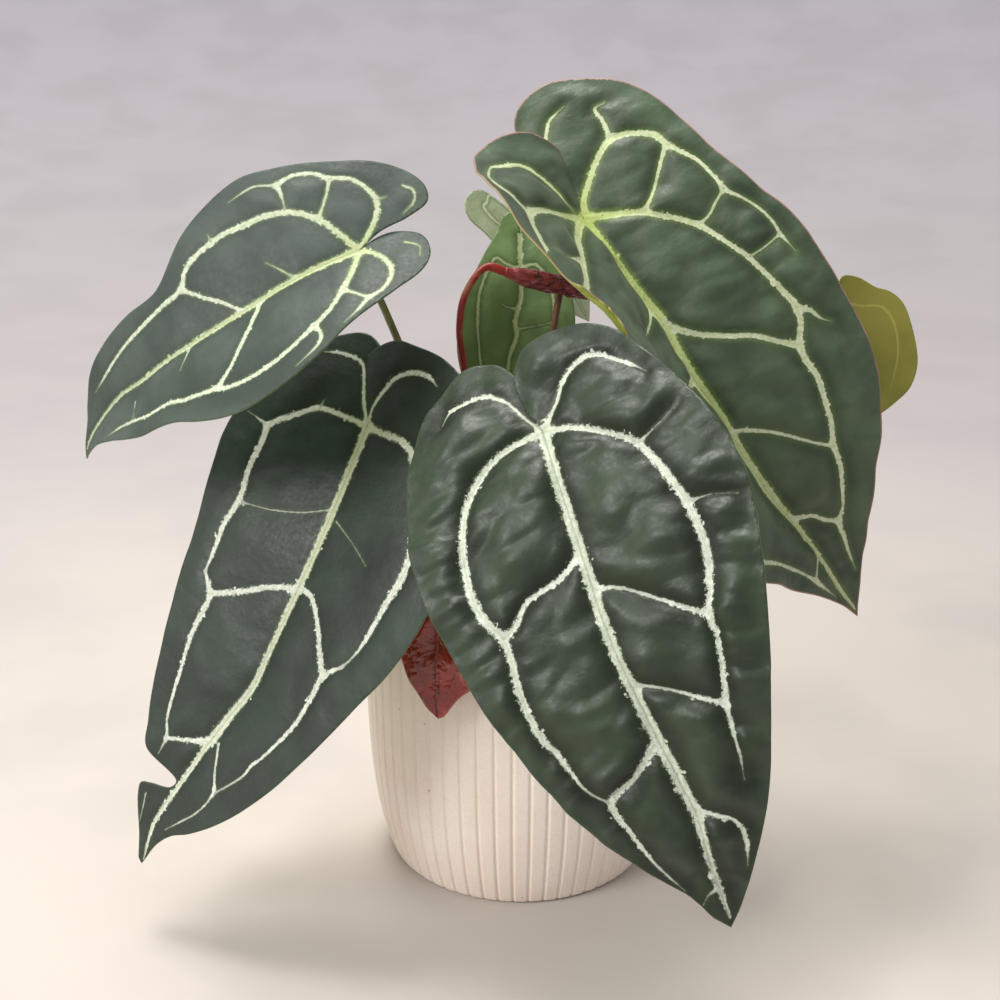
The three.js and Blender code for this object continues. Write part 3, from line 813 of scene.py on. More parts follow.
RIB_LINE, RIB_DEPTH = (1.4, 0.0), 0.12  # from the blade to the top of a vein's ridge


def frayed_edge(g, place, half_width, fray):
    """The distance to the ragged edge of the nearest vein, which is negative inside it."""
    strength = g.times(g.remap(half_width, *FRAYED_WIDTHS, LEAST_FRAY, 1), fray)
    waves = g.swing(place, **FRAY_WAVES)
    teeth = g.swing(place, **FRAY_TEETH)
    spurs = g.remap(g.noise(place, **SPUR_NOISE), *SPUR_CRESTS, 0, SPUR_LENGTH)
    ragged = g.math("ADD", g.math("ADD", waves, teeth), spurs)
    return g.math("SUBTRACT", g.value("vein_edge"), g.times(ragged, strength))


def panel_color(g, place, look, drift, edge, half_width):
    """Greens between the veins, with painted sheen, painted valley shade and lighter seams."""
    # painted shade: the valley beside each vein is darkened, further out beside wider veins
    beside = g.remap(g.math("DIVIDE", edge, half_width), look["valley_shade_reach"], 0)
    near = g.remap(edge, look["glow_reach"], 0)
    glow = g.times(near, g.remap(g.value("vein_tint"), *GLOW_TINT, LEAST_GLOW, 1))
    cloud = g.remap(g.noise(place, **CLOUD_NOISE), *CRESTS, 0, CLOUD_SHARE)
    panel = g.remap(g.value("vein_distance"), *PANEL_MIDDLE)
    green = g.mix(g.remap(drift, *MOST_OF_NOISE), look["deep"], look["fresh"])
    # painted sheen: a pale grey-blue highlight painted into the middle of each panel
    green = g.mix(g.times(panel, look["painted_sheen"]), green, look["painted_sheen_color"])
    green = g.mix(cloud, green, look["beside"])
    # painted shade in the valley beside each vein
    green = g.mix(g.times(beside, look["valley_shade"]), green, look["beside"])
    return g.mix(g.times(glow, look["glow"]), green, look["glow_color"])


def vein_color(g, look, grain, half_width):
    tint = g.times(g.value("vein_tint"), look["main_tint"])
    line = g.remap(g.value("vein_distance"), *CORE_LINE)
    core = g.times(line, g.remap(half_width, *CORE_WIDTHS))
    pale = g.mix(g.remap(grain, *VEIN_GRAIN), look["vein"], look["vein_shade"])
    pale = g.mix(tint, pale, look["core"])
    return g.mix(g.times(core, CORE_SHARE), pale, look["core"])


def belly_color(g, look, drift, band):
    belly = g.mix(g.remap(drift, *ALL_OF_NOISE), look["belly"], look["belly_fresh"])
    return g.mix(g.times(band, BELLY_VEIN_SHARE), belly, look["belly_vein"])


def leaf_bump(g, place, look, grain):
    """Leathery wrinkles, fine grain and a soft ridge along each vein."""
    wrinkles = g.noise(g.scaled(place, WRINKLE_STRETCH), WRINKLE_SIZE)
    leather = g.bump(wrinkles, look["leather"])
    tiny = g.bump(grain, GRAIN_DEPTH, leather)
    return g.bump(g.remap(g.value("vein_distance"), *RIB_LINE), RIB_DEPTH, tiny)


def leaf_material(name, look):
    """Velvet green between frayed pale veins, and paler and duller underneath."""
    g = Graph(name)
    place = g.place("blade_place")
    half_width = g.value("vein_half_width")
    drift = g.noise(place, DRIFT_SIZE)
    grain = g.noise(place, **GRAIN_NOISE)
    edge = frayed_edge(g, place, half_width, look["fray"])
    strong = g.remap(half_width, *STRONG_WIDTHS, look["thin"], 1)
    band = g.times(g.remap(edge, *EDGE_BLUR), strong)
    rim = g.times(g.remap(g.value("margin_distance"), *RIM_LINE), look["rim"])

    color = panel_color(g, place, look, drift, edge, half_width)
    color = g.mix(band, color, vein_color(g, look, grain, half_width))
    color = g.mix(rim, color, look["rim_color"])
    color = g.mix(g.value("underside"), color, belly_color(g, look, drift, band))
    gloss = [look["roughness"] + spread for spread in GLOSS_SPREAD]
    roughness = g.remap(grain, *ALL_OF_NOISE, *gloss)
    normal = leaf_bump(g, place, look, grain)
    return g.finish(color, roughness, normal, sheen=look["sheen"], specular=look["specular"])


# ---- the kinds of relief and the looks of this plant's leaves ----
# A relief holds heights in millimetres: the panels' dome and how far from a vein it has risen, the
# folds, the puffs, the margin's ripples, and the margin's wave and that wave's length.

DEEP_RELIEF = {
    "dome": 4.6, "dome_reach": 8, "fold": 2.3, "puff": 3.0, "ripple": 2.4, "wave": 0.9,
    "wave_size": 22,
}
EASY_RELIEF = {**DEEP_RELIEF, "dome": 2.6, "fold": 1.3, "puff": 1.9, "ripple": 0.4}
SOFT_RELIEF = {
    **DEEP_RELIEF, "dome": 0.9, "dome_reach": 7, "fold": 0.3, "puff": 0.6, "ripple": 0.2,
}
THIN_RELIEF = {**SOFT_RELIEF, "fold": 0.5, "puff": 1.0, "ripple": 0.1, "wave": 0.5}
CRUMPLED_RELIEF = {
    "dome": 0.4, "dome_reach": 4, "fold": 0.8, "puff": 4.5, "ripple": 0.6, "wave": 2.4,
    "wave_size": 14,
}

DARK_LOOK = {
    "deep": "121f0c", "fresh": "1d2f15", "painted_sheen": 0.5, "painted_sheen_color": "3a4a38",
    "beside": "0c1908", "valley_shade": 0.6, "valley_shade_reach": 4,
    "glow": 0.35, "glow_color": "4f6b34", "glow_reach": 1.2,
    "vein": "d6ddd0", "vein_shade": "b5c0ab", "core": "a5b38a", "main_tint": 0.3,
    "fray": 1.0, "thin": 0.45, "rim": 0.35, "rim_color": "4a5a3a",
    "belly": "7f9468", "belly_fresh": "94a678", "belly_vein": "b9c49a",
    "roughness": 0.43, "sheen": 0.08, "specular": 0.45, "leather": 0.22,
}
LOWER_LOOK = {
    **DARK_LOOK, "deep": "152519", "fresh": "203425", "painted_sheen": 0, "vein": "dde2d7",
    "vein_shade": "bcc5b3", "core": "adb97c", "main_tint": 0.7, "fray": 0.9, "glow": 0.5,
    "roughness": 0.45, "leather": 0.15,
}
GREY_LOOK = {
    **DARK_LOOK, "deep": "323f36", "fresh": "435047", "painted_sheen": 0, "beside": "2b382d",
    "vein": "ccd4bf", "vein_shade": "aab69a", "core": "a9b573", "main_tint": 0.7, "fray": 0.8,
    "glow": 0.6, "glow_color": "6f8a48", "roughness": 0.5, "specular": 0.35, "leather": 0.15,
}
UPPER_RIGHT_LOOK = {
    **DARK_LOOK, "deep": "2f402b", "fresh": "425439", "painted_sheen": 0.4, "painted_sheen_color": "566a52",
    "beside": "203314", "valley_shade": 0.3, "glow": 0.7, "glow_color": "6f8a38", "glow_reach": 2.5,
    "vein": "d2d9bf", "vein_shade": "b4c096", "core": "b7cb66", "main_tint": 0.9, "fray": 0.6,
    "rim": 0.9, "rim_color": "a5776a", "belly": "8f9a3e", "belly_fresh": "a5ad50",
    "roughness": 0.46,
}
# The back leaves' greens are lightened as painted light shining through them from behind.
CENTRE_LOOK = {
    **DARK_LOOK, "deep": "66824f", "fresh": "809c68", "painted_sheen": 0, "beside": "47633a",
    "vein": "c9d4ae", "vein_shade": "aebd88", "core": "c0cc90", "fray": 0.7,
    "belly": "8fa66c", "belly_fresh": "a3b880",
}
PALE_LOOK = {
    **CENTRE_LOOK, "deep": "a2b18a", "fresh": "b4c19f", "beside": "8a9c72", "vein": "dde4cc",
    "vein_shade": "c9d4b4",
}
# Painted light here too: lightened for the light shining through this leaf from behind.
OLIVE_LOOK = {
    **DARK_LOOK, "deep": "515a20", "fresh": "6c7326", "painted_sheen": 0, "beside": "49521d",
    "vein": "b9bb6a", "vein_shade": "a3a650", "core": "c3c476", "fray": 0.4,
    "belly": "84832f", "belly_fresh": "9c9a3e", "belly_vein": "c9c566",
}
YOUNG_LOOK = {
    **DARK_LOOK, "deep": "6e0f06", "fresh": "9e2412", "painted_sheen": 0, "beside": "540c06",
    "vein": "a3341f", "vein_shade": "8f2a18", "core": "b0482e", "fray": 0.4,
    "rim": 0.4, "rim_color": "c9857a", "belly": "8a4a3e", "belly_fresh": "a05c4c",
    "belly_vein": "b5705c", "roughness": 0.14, "glow": 0.0, "sheen": 0.0, "specular": 0.6,
    "leather": 0.9,
}

# ---- the leaves of this plant ----
# Each leaf is placed by the point where its stalk meets it, its tip and its roll about the line
# between them. Its midrib droops and sweeps aside by so many degrees on the way. An outline runs
# from the stalk round the lobe to the tip, and a vein belongs to one half or, with 0, to both.
# Each of its points is (a, s, width). A half's "hem" is where along the blade its margin begins
# to roll up, is wholly rolled up, begins to open and lies open again.

FRONT_LEAF = {
    "attach": (7, -84, 219), "tip": (71, -158, 62), "roll": -56, "droop": 43, "sweep": 6,
    "lobe_rise": 2,
    "right": {
        "fold": 5, "lobe_lift": 4,
        "outline": [
            (0, 0), (-3, -10), (-4, -23), (2, -33), (12, -36), (26, -33), (39, -23), (49, -5),
            (56, 11), (62, 31), (63, 48), (58, 73), (51, 95), (40, 124), (29, 149), (15, 172),
            (6, 185), (0, 192),
        ],
    },
    "left": {
        "fold": 5,
        "outline": [
            (0, 0), (1, -12), (3, -25), (9, -35), (19, -39), (33, -34), (47, -20), (56, -2),
            (62, 24), (62, 46), (57, 75), (49, 105), (36, 137), (21, 161), (9, 176), (4, 186),
            (0, 192),
        ],
    },
    "relief": DEEP_RELIEF,
    "veins": [
        (0, [(0, 0, 4.5), (-1, 48, 4.6), (-2, 78, 4.6), (0, 107, 4.6), (3, 136, 4.4),
             (4, 148, 4), (2, 167, 2.6), (1, 188, 1)]),
        (LEFT, [(0, 0, 3), (-17, 2, 2.2), (-28, 8, 3), (-38, 21, 3), (-44, 42, 3.4),
                (-43, 58, 3.2), (-38, 68, 3), (-39, 90, 2.6), (-37, 106, 2.6), (-34, 112, 2.2),
                (-29, 127, 1), (-23, 134, 0.6)]),
        (LEFT, [(-3, 50, 2.6), (-11, 55, 2), (-26, 59, 2), (-32, 65, 2.2), (-38, 68, 3)]),
        (LEFT, [(-1, 120, 3), (-11, 128, 2), (-22, 134, 2.6), (-20, 145, 2), (-16, 160, 1),
                (-10, 173, 0.7)]),
        (LEFT, [(1, 175, 1.2), (-3, 177, 1), (-6, 180, 0.8)]),
        (LEFT, [(0, 0, 1.6), (-5, -8, 1), (-10, -18, 1.4), (-17, -24, 1.8), (-25, -25, 1.8),
                (-32, -24, 1.4), (-36, -20, 1.2)]),
        (RIGHT, [(0, 0, 3), (10, 4, 2.2), (23, 13, 2.2), (32, 22, 2.6), (37, 34, 3),
                 (41, 50, 3.2), (41, 65, 3), (37, 78, 2.4), (34, 85, 2.4), (34, 92, 2),
                 (30, 108, 1.8), (28, 114, 1.8), (26, 131, 1), (24, 140, 0.5)]),
        (RIGHT, [(32, 22, 1), (40, 19, 0.5), (50, 15, 0.3)]),
        (RIGHT, [(41, 48, 1), (50, 49, 0.5), (58, 52, 0.3)]),
        (RIGHT, [(0, 63, 1.6), (8, 66, 1.2), (19, 74, 1.4), (28, 81, 1.8), (34, 85, 2.2)]),
        (RIGHT, [(2, 99, 1.2), (12, 104, 1), (21, 110, 1.6), (28, 114, 1.6)]),
        (RIGHT, [(4, 146, 2), (10, 149, 1.6), (16, 153, 1.2), (17, 160, 1.6), (14, 170, 0.5)]),
        (RIGHT, [(0, 0, 2.6), (8, -7, 1.4), (14, -14, 1.8), (21, -18, 2.2), (28, -18, 2),
                 (35, -12, 1.4), (40, -7, 1.4), (44, -2, 0.7)]),
    ],
    "stalk": {"angle": 275, "via": [(3, -26, 168), (10, -58, 207)]},
}

LOWER_LEFT_LEAF = {
    "attach": (-63, -30, 207), "tip": (-157, -80, 34), "roll": 24, "droop": 8, "sweep": 24,
    "lobe_rise": 4,
    "right": {
        "fold": 6, "lobe_lift": 5,
        "outline": [
            (0, 0), (-10, -10), (-14, -19), (-12, -28), (-6, -34), (2, -37), (12, -36), (30, -32),
            (46, -22), (58, -5), (64, 16), (66, 38), (65, 60), (61, 80), (52, 100), (44, 122),
            (32, 149), (23, 165), (12, 179), (5, 186), (1, 194), (0, 205),
        ],
    },
    "left": {
        "fold": 8,
        "outline": [
            (0, 0), (1, -14), (4, -29), (9, -35), (16, -38), (28, -35), (44, -25), (58, -6),
            (66, 10), (67, 22), (65, 42), (61, 66), (54, 102), (43, 138), (35, 156), (29, 166),
            (8, 168), (9, 172), (18, 177), (22, 180), (20, 185), (8, 198), (2, 205),
        ],
    },
    "relief": SOFT_RELIEF,
    "veins": [
        (0, [(0, 0, 3.8), (0, 38, 3.8), (0, 72, 3.6), (1, 100, 3), (2, 115, 3.5), (-1, 130, 3.8),
             (-3, 142, 4.5), (-4, 148, 3), (-5, 160, 2.5), (-6, 175, 2.2), (-6, 188, 1.8),
             (-3, 197, 1.4), (0, 203, 0.8)]),
        (LEFT, [(0, 0, 2.4), (-8, -1, 2), (-18, -2, 2), (-25, -2, 2), (-31, 1, 2.2),
                (-37, 5, 2.4), (-42, 8, 2.6), (-46, 12, 3), (-46, 20, 2.8), (-47, 33, 2.6),
                (-45, 48, 2.6), (-47, 62, 2.4), (-46, 72, 2), (-45, 85, 0.8)]),
        (LEFT, [(-45, 85, 0.8), (-39, 91, 2.4), (-37, 95, 2.6), (-37, 105, 2.4), (-36, 115, 2),
                (-33, 128, 1.6), (-30, 141, 1.4), (-27, 150, 1.2), (-23, 156, 1.2),
                (-22, 165, 1)]),
        (LEFT, [(-25, -2, 0.9), (-24, -6, 0.7)]),
        (LEFT, [(-46, 12, 1.6), (-52, 10, 1), (-59, 8, 0.6)]),
        (LEFT, [(-45, 48, 0.8), (-42, 50, 0.6)]),
        (LEFT, [(-1, 72, 2.4), (-13, 77, 2.2), (-25, 85, 2.4), (-37, 92, 2.6)]),
        (LEFT, [(-4, 145, 3), (-15, 152, 1.6), (-23, 157, 1.2)]),
        (LEFT, [(0, 0, 1.4), (-6, -10, 1.4), (-10, -20, 1.4), (-13, -25, 1.4), (-20, -27, 1.4),
                (-27, -27, 1.4), (-33, -26, 1.2)]),
        (LEFT, [(-17, 182, 0.5), (-12, 193, 0.5)]),
        (LEFT, [(-3, 38, 0.5), (-14, 43, 0.5), (-28, 47, 0.5), (-42, 49, 0.4)]),
        (RIGHT, [(0, 0, 2.6), (5, 1, 2.4), (13, 2, 2.4), (20, 3, 2.4), (28, 7, 2.6),
                 (36, 20, 2.8), (43, 33, 3), (47, 45, 3), (47, 53, 3.4), (45, 62, 2.4),
                 (44, 72, 2), (42, 82, 1), (39, 88, 0.7)]),
        (RIGHT, [(39, 88, 0.7), (34, 93, 2), (32, 97, 2.6), (32, 103, 2.2), (31, 115, 1.8),
                 (28, 125, 1.6), (24, 135, 1.2), (22, 139, 1.4), (21, 144, 1), (13, 158, 0.5)]),
        (RIGHT, [(1, 71, 2), (8, 72, 2), (17, 79, 2), (25, 88, 2.4), (32, 95, 2.6)]),
        (RIGHT, [(1, 143, 1), (7, 152, 1.1), (12, 158, 1.4), (12, 163, 1), (10, 170, 0.9),
                 (5, 179, 0.7), (1, 186, 0.6)]),
        (RIGHT, [(0, 0, 1), (0, -8, 1.2), (3, -15, 1.8), (6, -20, 2), (10, -23, 2),
                 (18, -25, 2), (25, -24, 2), (30, -21, 2)]),
        (RIGHT, [(4, 41, 0.5), (18, 47, 0.5), (28, 52, 0.4)]),
    ],
    "stalk": {"angle": 195, "via": [(-22, -2, 168), (-46, -8, 195)]},
}

UPPER_LEFT_LEAF = {
    "attach": (-64, -30, 278), "tip": (-184, -16, 189), "roll": 46, "droop": 52, "sweep": 8,
    "right": {
        "fold": 12, "curl": -7,
        "outline": [
            (0, 0), (-3, -8), (-3, -15), (3, -23), (10, -25), (19, -23), (26, -17), (31, -4),
            (38, 15), (46, 31), (51, 47), (50, 64), (43, 78), (32, 92), (23, 112), (10, 130),
            (2, 144), (0, 155),
        ],
    },
    "left": {
        "fold": 13, "lobe_lift": 2,
        "outline": [
            (0, 0), (4, -10), (5, -23), (8, -33), (15, -35), (25, -31), (35, -21), (45, -2),
            (51, 15), (54, 31), (50, 48), (44, 62), (31, 81), (31, 98), (30, 115), (26, 128),
            (13, 142), (5, 152), (0, 155),
        ],
    },
    "relief": SOFT_RELIEF,
    "veins": [
        (0, [(0, 0, 3.4), (0, 31, 2.8), (1, 51, 2.6), (0, 72, 2.4), (-2, 92, 2), (-3, 105, 2),
             (-6, 118, 1.8), (-6, 134, 1.6), (-5, 146, 1.4), (-3, 152, 1)]),
        (LEFT, [(0, 0, 2.2), (-10, 4, 2.2), (-20, 9, 2.4), (-28, 17, 2.4), (-32, 27, 2.6),
                (-33, 36, 2.6), (-34, 46, 2.4), (-33, 56, 2.2), (-30, 65, 2), (-24, 71, 2.2),
                (-23, 82, 1.8), (-22, 95, 1.6), (-21, 106, 1.4), (-20, 115, 1.4),
                (-18, 125, 1), (-17, 131, 0.7)]),
        (LEFT, [(0, 0, 2), (-5, -6, 2), (-11, -12, 2), (-18, -15, 2), (-26, -13, 2),
                (-32, -9, 1.8), (-36, -2, 1.8), (-41, 3, 1.6), (-44, 11, 1.8), (-43, 18, 1.8)]),
        (LEFT, [(-44, 20, 0.9), (-47, 26, 0.9), (-47, 31, 0.9), (-46, 38, 0.9)]),
        (LEFT, [(-36, -2, 1.2), (-29, 2, 1.2), (-24, 6, 1.2), (-20, 9, 1.4)]),
        (LEFT, [(-43, 18, 1.6), (-37, 18, 1.4), (-31, 19, 1.6)]),
        (LEFT, [(-18, -15, 0.9), (-17, -19, 0.7)]),
        (LEFT, [(-34, 51, 0.9), (-38, 51, 0.7)]),
        (LEFT, [(-19, -27, 0.9), (-15, -30, 0.9), (-10, -28, 0.9), (-7, -22, 0.9)]),
        (LEFT, [(0, 52, 1.4), (-7, 57, 1.4), (-15, 64, 1.5), (-24, 71, 1.8)]),
        (LEFT, [(-2, 28, 0.8), (-7, 31, 0.7), (-13, 35, 0.6)]),
        (RIGHT, [(0, 0, 2.4), (10, 6, 2.2), (19, 13, 2.2), (27, 21, 2), (32, 30, 2), (36, 39, 2),
                 (38, 47, 2.2), (38, 57, 2), (35, 66, 2), (32, 70, 2), (29, 77, 1.8),
                 (26, 84, 1.8), (21, 92, 1.6), (18, 103, 1.4), (14, 112, 1.2), (10, 121, 1),
                 (7, 130, 0.8)]),
        (RIGHT, [(0, 0, 2), (7, -5, 2), (16, -7, 2), (23, -5, 1.8), (28, 0, 1.6), (30, 6, 1.6),
                 (34, 12, 1.2), (37, 18, 0.8)]),
        (RIGHT, [(19, 13, 1.4), (24, 10, 1.2), (30, 6, 1.2)]),
        (RIGHT, [(31, 28, 1.6), (37, 27, 1.4), (41, 29, 1.2), (46, 39, 0.6)]),
        (RIGHT, [(1, 43, 1.8), (8, 48, 1.8), (17, 55, 1.8), (26, 62, 1.9), (32, 69, 2)]),
        (RIGHT, [(1, 78, 0.8), (6, 82, 0.8), (9, 84, 0.6)]),
        (RIGHT, [(5, 110, 0.7), (12, 112, 0.6)]),
        (RIGHT, [(6, -17, 0.8), (12, -21, 0.8), (18, -19, 0.8)]),
    ],
    "stalk": {"angle": 155, "via": [(-26, 12, 168), (-50, 8, 228), (-58, -8, 254)]},
}

UPPER_RIGHT_LEAF = {
    "attach": (26, 14, 286), "tip": (154, 2, 109), "roll": -62, "droop": 46, "sweep": -19,
    "lobe_rise": -4,
    "right": {
        "fold": 10, "curl": -3,
        "outline": [
            (0, 0), (-2, -20), (-5, -44), (-2, -54), (7, -60), (20, -61), (36, -54), (50, -40),
            (58, -20), (63, 2), (69, 25), (75, 46), (76, 64), (75, 88), (71, 118), (59, 145),
            (41, 169), (20, 195), (6, 215), (0, 225),
        ],
    },
    "left": {
        "fold": (20, 48, 43, 36, 18), "curl": (-4, 10, 42, 15, 5), "lobe_lift": 12,
        "hem": (30, 42, 84, 98),
        "outline": [
            (0, 0), (-6, -9), (-10, -20), (-7, -32), (1, -39.5), (10, -42), (20, -41.5), (30, -39),
            (40, -34), (50, -25), (60, -16), (67, -8), (71, 3), (72, 15), (71, 30), (69, 45),
            (65, 60), (60, 85), (57, 110), (55, 132), (49, 149), (38, 159), (29, 168),
            (20, 181), (10, 196), (3, 212), (0, 225),
        ],
    },
    "relief": EASY_RELIEF,
    "veins": [
        (0, [(0, 0, 4.5), (1, 20, 4.2), (2, 40, 4.5), (3, 55, 6), (2, 70, 4.5), (1, 86, 5.1),
             (2, 101, 3.9), (1, 111, 4.5), (0, 126, 4.5), (0, 141, 4.8), (1, 156, 3.9),
             (2, 171, 3), (2, 186, 2.4), (1, 207, 2), (1, 220, 1.2)]),
        (RIGHT, [(1, 0, 3.8), (10, 5, 3), (18, 9, 2.8), (23, 12, 2.8), (28, 17, 2.5), (35, 24, 2.5),
                 (40, 31, 2.5), (44, 40, 2.2), (48, 50, 2.2), (51, 62, 2.2), (53, 73, 2.5),
                 (54, 82, 3), (52, 89, 2.5), (47, 96, 3), (45, 103, 3), (45, 113, 2.8),
                 (42, 124, 2.5), (39, 134, 2.2), (35, 142, 2.5), (32, 153, 2.2), (27, 163, 1.5),
                 (23, 170, 1.2), (18, 175, 2.2), (16, 183, 1.8), (14, 191, 1.2), (12, 201, 0.8)]),
        (RIGHT, [(54, 83, 2.5), (58, 87, 2), (60, 93, 1.2), (63, 97, 1)]),
        (RIGHT, [(2, -2, 3), (4, -6, 2.5), (10, -12, 2.5), (17, -18, 2.5), (23, -22, 2.8),
                 (28, -24, 3.2), (34, -23, 2.8), (40, -20, 2.5), (45, -16, 3), (47, -10, 2.5),
                 (50, -4, 2.2), (54, 3, 1.8), (56, 13, 1.5), (57, 22, 1.8), (61, 29, 1.2),
                 (64, 36, 1.2), (66, 45, 1.2), (66, 53, 1.2), (67, 62, 0.8)]),
        (RIGHT, [(28, -24, 2), (30, -33, 1.8), (30, -40, 1.5), (35, -40, 1.2)]),
        (RIGHT, [(46, -9, 1.8), (37, 0, 1.4), (30, 7, 1.4), (24, 11, 1.8)]),
        (RIGHT, [(57, 21, 1.2), (50, 25, 1.1), (45, 28, 1.1), (40, 29, 1.2)]),
        (RIGHT, [(50, 53, 0.8), (58, 53, 0.8), (65, 52, 0.8)]),
        (RIGHT, [(3, 56, 3.8), (6, 60, 3), (13, 68, 2.5), (23, 76, 2.2), (32, 82, 2.2),
                 (40, 91, 2.5), (46, 97, 3)]),
        (RIGHT, [(2, 111, 1.8), (5, 112, 1.8), (15, 120, 1.5), (22, 128, 1.4), (28, 136, 1.2),
                 (34, 143, 1.2)]),
        (RIGHT, [(2, 158, 2.5), (4, 160, 2.2), (10, 164, 1.8), (14, 170, 1.8), (18, 174, 2.2)]),
        (RIGHT, [(5, -39, 1.5), (10, -45, 1.5), (15, -47, 1.2), (20, -48, 1)]),
        (LEFT, [(0, 0, 5), (-10, 5, 4), (-20, 12, 3.8), (-30, 21, 3.5), (-35, 25, 3.2),
                (-45, 32, 3), (-55, 36, 2.8), (-68, 39, 2.2)]),
        (LEFT, [(-7, 1, 3.8), (-20, 1, 2.5), (-35, 1, 2.5), (-45, 2, 3), (-52, 4, 3.8), (-57, 9, 3),
                (-61, 15, 2.8), (-65, 20, 2.5), (-70, 23, 2)]),
        (LEFT, [(-52, 4, 2.2), (-56, 0, 2.2), (-59, -4, 2), (-61, -7, 2.2), (-59, -12, 1.2),
                (-50, -19, 1), (-42, -24, 1), (-38, -25, 1.8), (-30, -25.5, 2.5),
                (-24, -26, 2.2), (-19, -24, 2.5), (-16, -20, 2), (-12, -13, 1.8), (-9, -6, 1.5),
                (-6, -3, 1.2)]),
        (LEFT, [(-36, 23, 1.8), (-45, 22, 1.2)]),
        (LEFT, [(0, 50, 1.5), (-7, 54, 1.2), (-13, 56, 1.2), (-20, 58, 0.8)]),
        (LEFT, [(0, 83, 3.8), (-6, 84, 2.5), (-10, 88, 1.2)]),
        (LEFT, [(-60, 146, 1.2), (-50, 146, 1.8), (-42, 148, 1.8), (-35, 151, 1.8),
                (-27, 158, 1.8), (-22, 163, 1.5), (-15, 173, 1.5), (-10, 182, 1.2),
                (-7, 190, 2), (-5, 197, 1.2), (-3, 205, 0.8)]),
        (LEFT, [(0, 183, 1), (-7, 188, 1.2)]),
    ],
    "stalk": {"angle": 315, "via": [(11, 6, 168), (14, 15, 235), (19, 20, 262)]},
}

BACK_CENTRE_LEAF = {
    "attach": (0, 50, 275), "tip": (-5, 46, 178), "roll": 50, "droop": 30,
    "right": {
        "fold": 8,
        "outline": [
            (0, 0), (1, -6), (5, -11), (11, -9), (16, 2), (22, 16), (27, 34), (27, 50), (22, 68),
            (11, 86), (0, 98),
        ],
    },
    "left": {
        "fold": 8,
        "outline": [
            (0, 0), (1, -6), (4, -10), (8, -8), (11, 0), (16, 10), (21, 22), (25, 38), (26, 52),
            (21, 70), (10, 87), (0, 98),
        ],
    },
    "relief": THIN_RELIEF,
    "veins": [
        (0, [(0, 0, 2), (1, 15, 2), (2, 28, 2), (0, 40, 2), (1, 45, 2), (-2, 57, 1.6),
             (0, 92, 0.8)]),
        (LEFT, [(-1, 15, 1.2), (-6, 13, 1.2), (-10, 11, 1.2), (-12, 13, 1.2), (-15, 20, 1.2),
                (-17, 28, 1.2), (-17, 42, 1.2), (-16, 50, 1), (-15, 58, 1), (-10, 76, 0.6)]),
        (LEFT, [(0, 33, 0.8), (-5, 32, 0.7), (-9, 29, 0.6)]),
        (RIGHT, [(1, 15, 1.2), (8, 13, 1.2), (15, 22, 1.2), (18, 36, 1.2), (18, 50, 1),
                 (15, 66, 0.8), (8, 82, 0.6)]),
        (RIGHT, [(2, 42, 0.8), (10, 40, 0.7), (17, 38, 0.6)]),
    ],
    "stalk": {"angle": 35, "via": [(9, 26, 150), (7, 54, 178), (4, 66, 225), (1, 65, 262)]},
}

BACK_LEFT_LEAF = {
    "attach": (-3, 92, 281), "tip": (36, 110, 225), "roll": -70, "droop": 20,
    "right": {
        "fold": 5,
        "outline": [
            (0, 0), (2, -9), (7, -14), (15, -12), (22, -3), (25, 12), (23, 28), (17, 46),
            (7, 62), (0, 71),
        ],
    },
    "left": {
        "fold": 5,
        "outline": [
            (0, 0), (2, -10), (6, -19), (12, -22), (19, -20), (22, -15), (21, -4), (20, 14),
            (18, 32), (12, 51), (0, 71),
        ],
    },
    "relief": THIN_RELIEF,
    "veins": [
        (0, [(0, 0, 1.8), (0, 35, 1.4), (0, 66, 0.7)]),
        (LEFT, [(0, 0, 1.2), (-4, -14, 1.2), (-8, -13, 1.4), (-11, -13, 1.4), (-12, -10, 1.4),
                (-12, -5, 1.2), (-11, 0, 1.2), (-13, 16, 1), (-11, 34, 0.8), (-5, 52, 0.5)]),
        (RIGHT, [(0, 0, 1.2), (6, -6, 1.2), (13, -3, 1.2), (17, 10, 1), (15, 26, 0.8),
                 (9, 46, 0.5)]),
    ],
    "stalk": {"angle": 75, "via": [(3, 40, 160), (0, 82, 215), (-8, 104, 258)]},
}

BACK_RIGHT_LEAF = {
    "attach": (148, 52, 245), "tip": (166, 48, 187), "roll": 105, "droop": 20,
    "right": {
        "fold": 5,
        "outline": [
            (0, 0), (2, -8), (8, -12), (15, -10), (21, -3), (24, 10), (22, 26), (16, 42),
            (7, 54), (0, 61),
        ],
    },
    "left": {
        "fold": 5,
        "outline": [
            (0, 0), (0, -7), (3, -11), (10, -8), (17, -1), (23, 3), (28, 10), (30, 20), (30, 32),
            (28, 42), (22, 50), (12, 55), (4, 58), (0, 61),
        ],
    },
    "relief": THIN_RELIEF,
    "veins": [
        (0, [(0, 0, 1.8), (0, 30, 1.4), (0, 57, 0.7)]),
        (LEFT, [(0, 0, 1.2), (-8, 5, 1.2), (-18, 9, 1.2), (-22, 18, 1.2), (-21, 32, 1),
                (-13, 48, 0.7)]),
        (RIGHT, [(0, 0, 1.2), (8, 3, 1.2), (15, 9, 1.2), (17, 20, 1), (13, 36, 0.8),
                 (6, 50, 0.5)]),
    ],
    "stalk": {"angle": 355, "via": [(40, 14, 182), (95, 34, 226), (135, 40, 246)]},
}

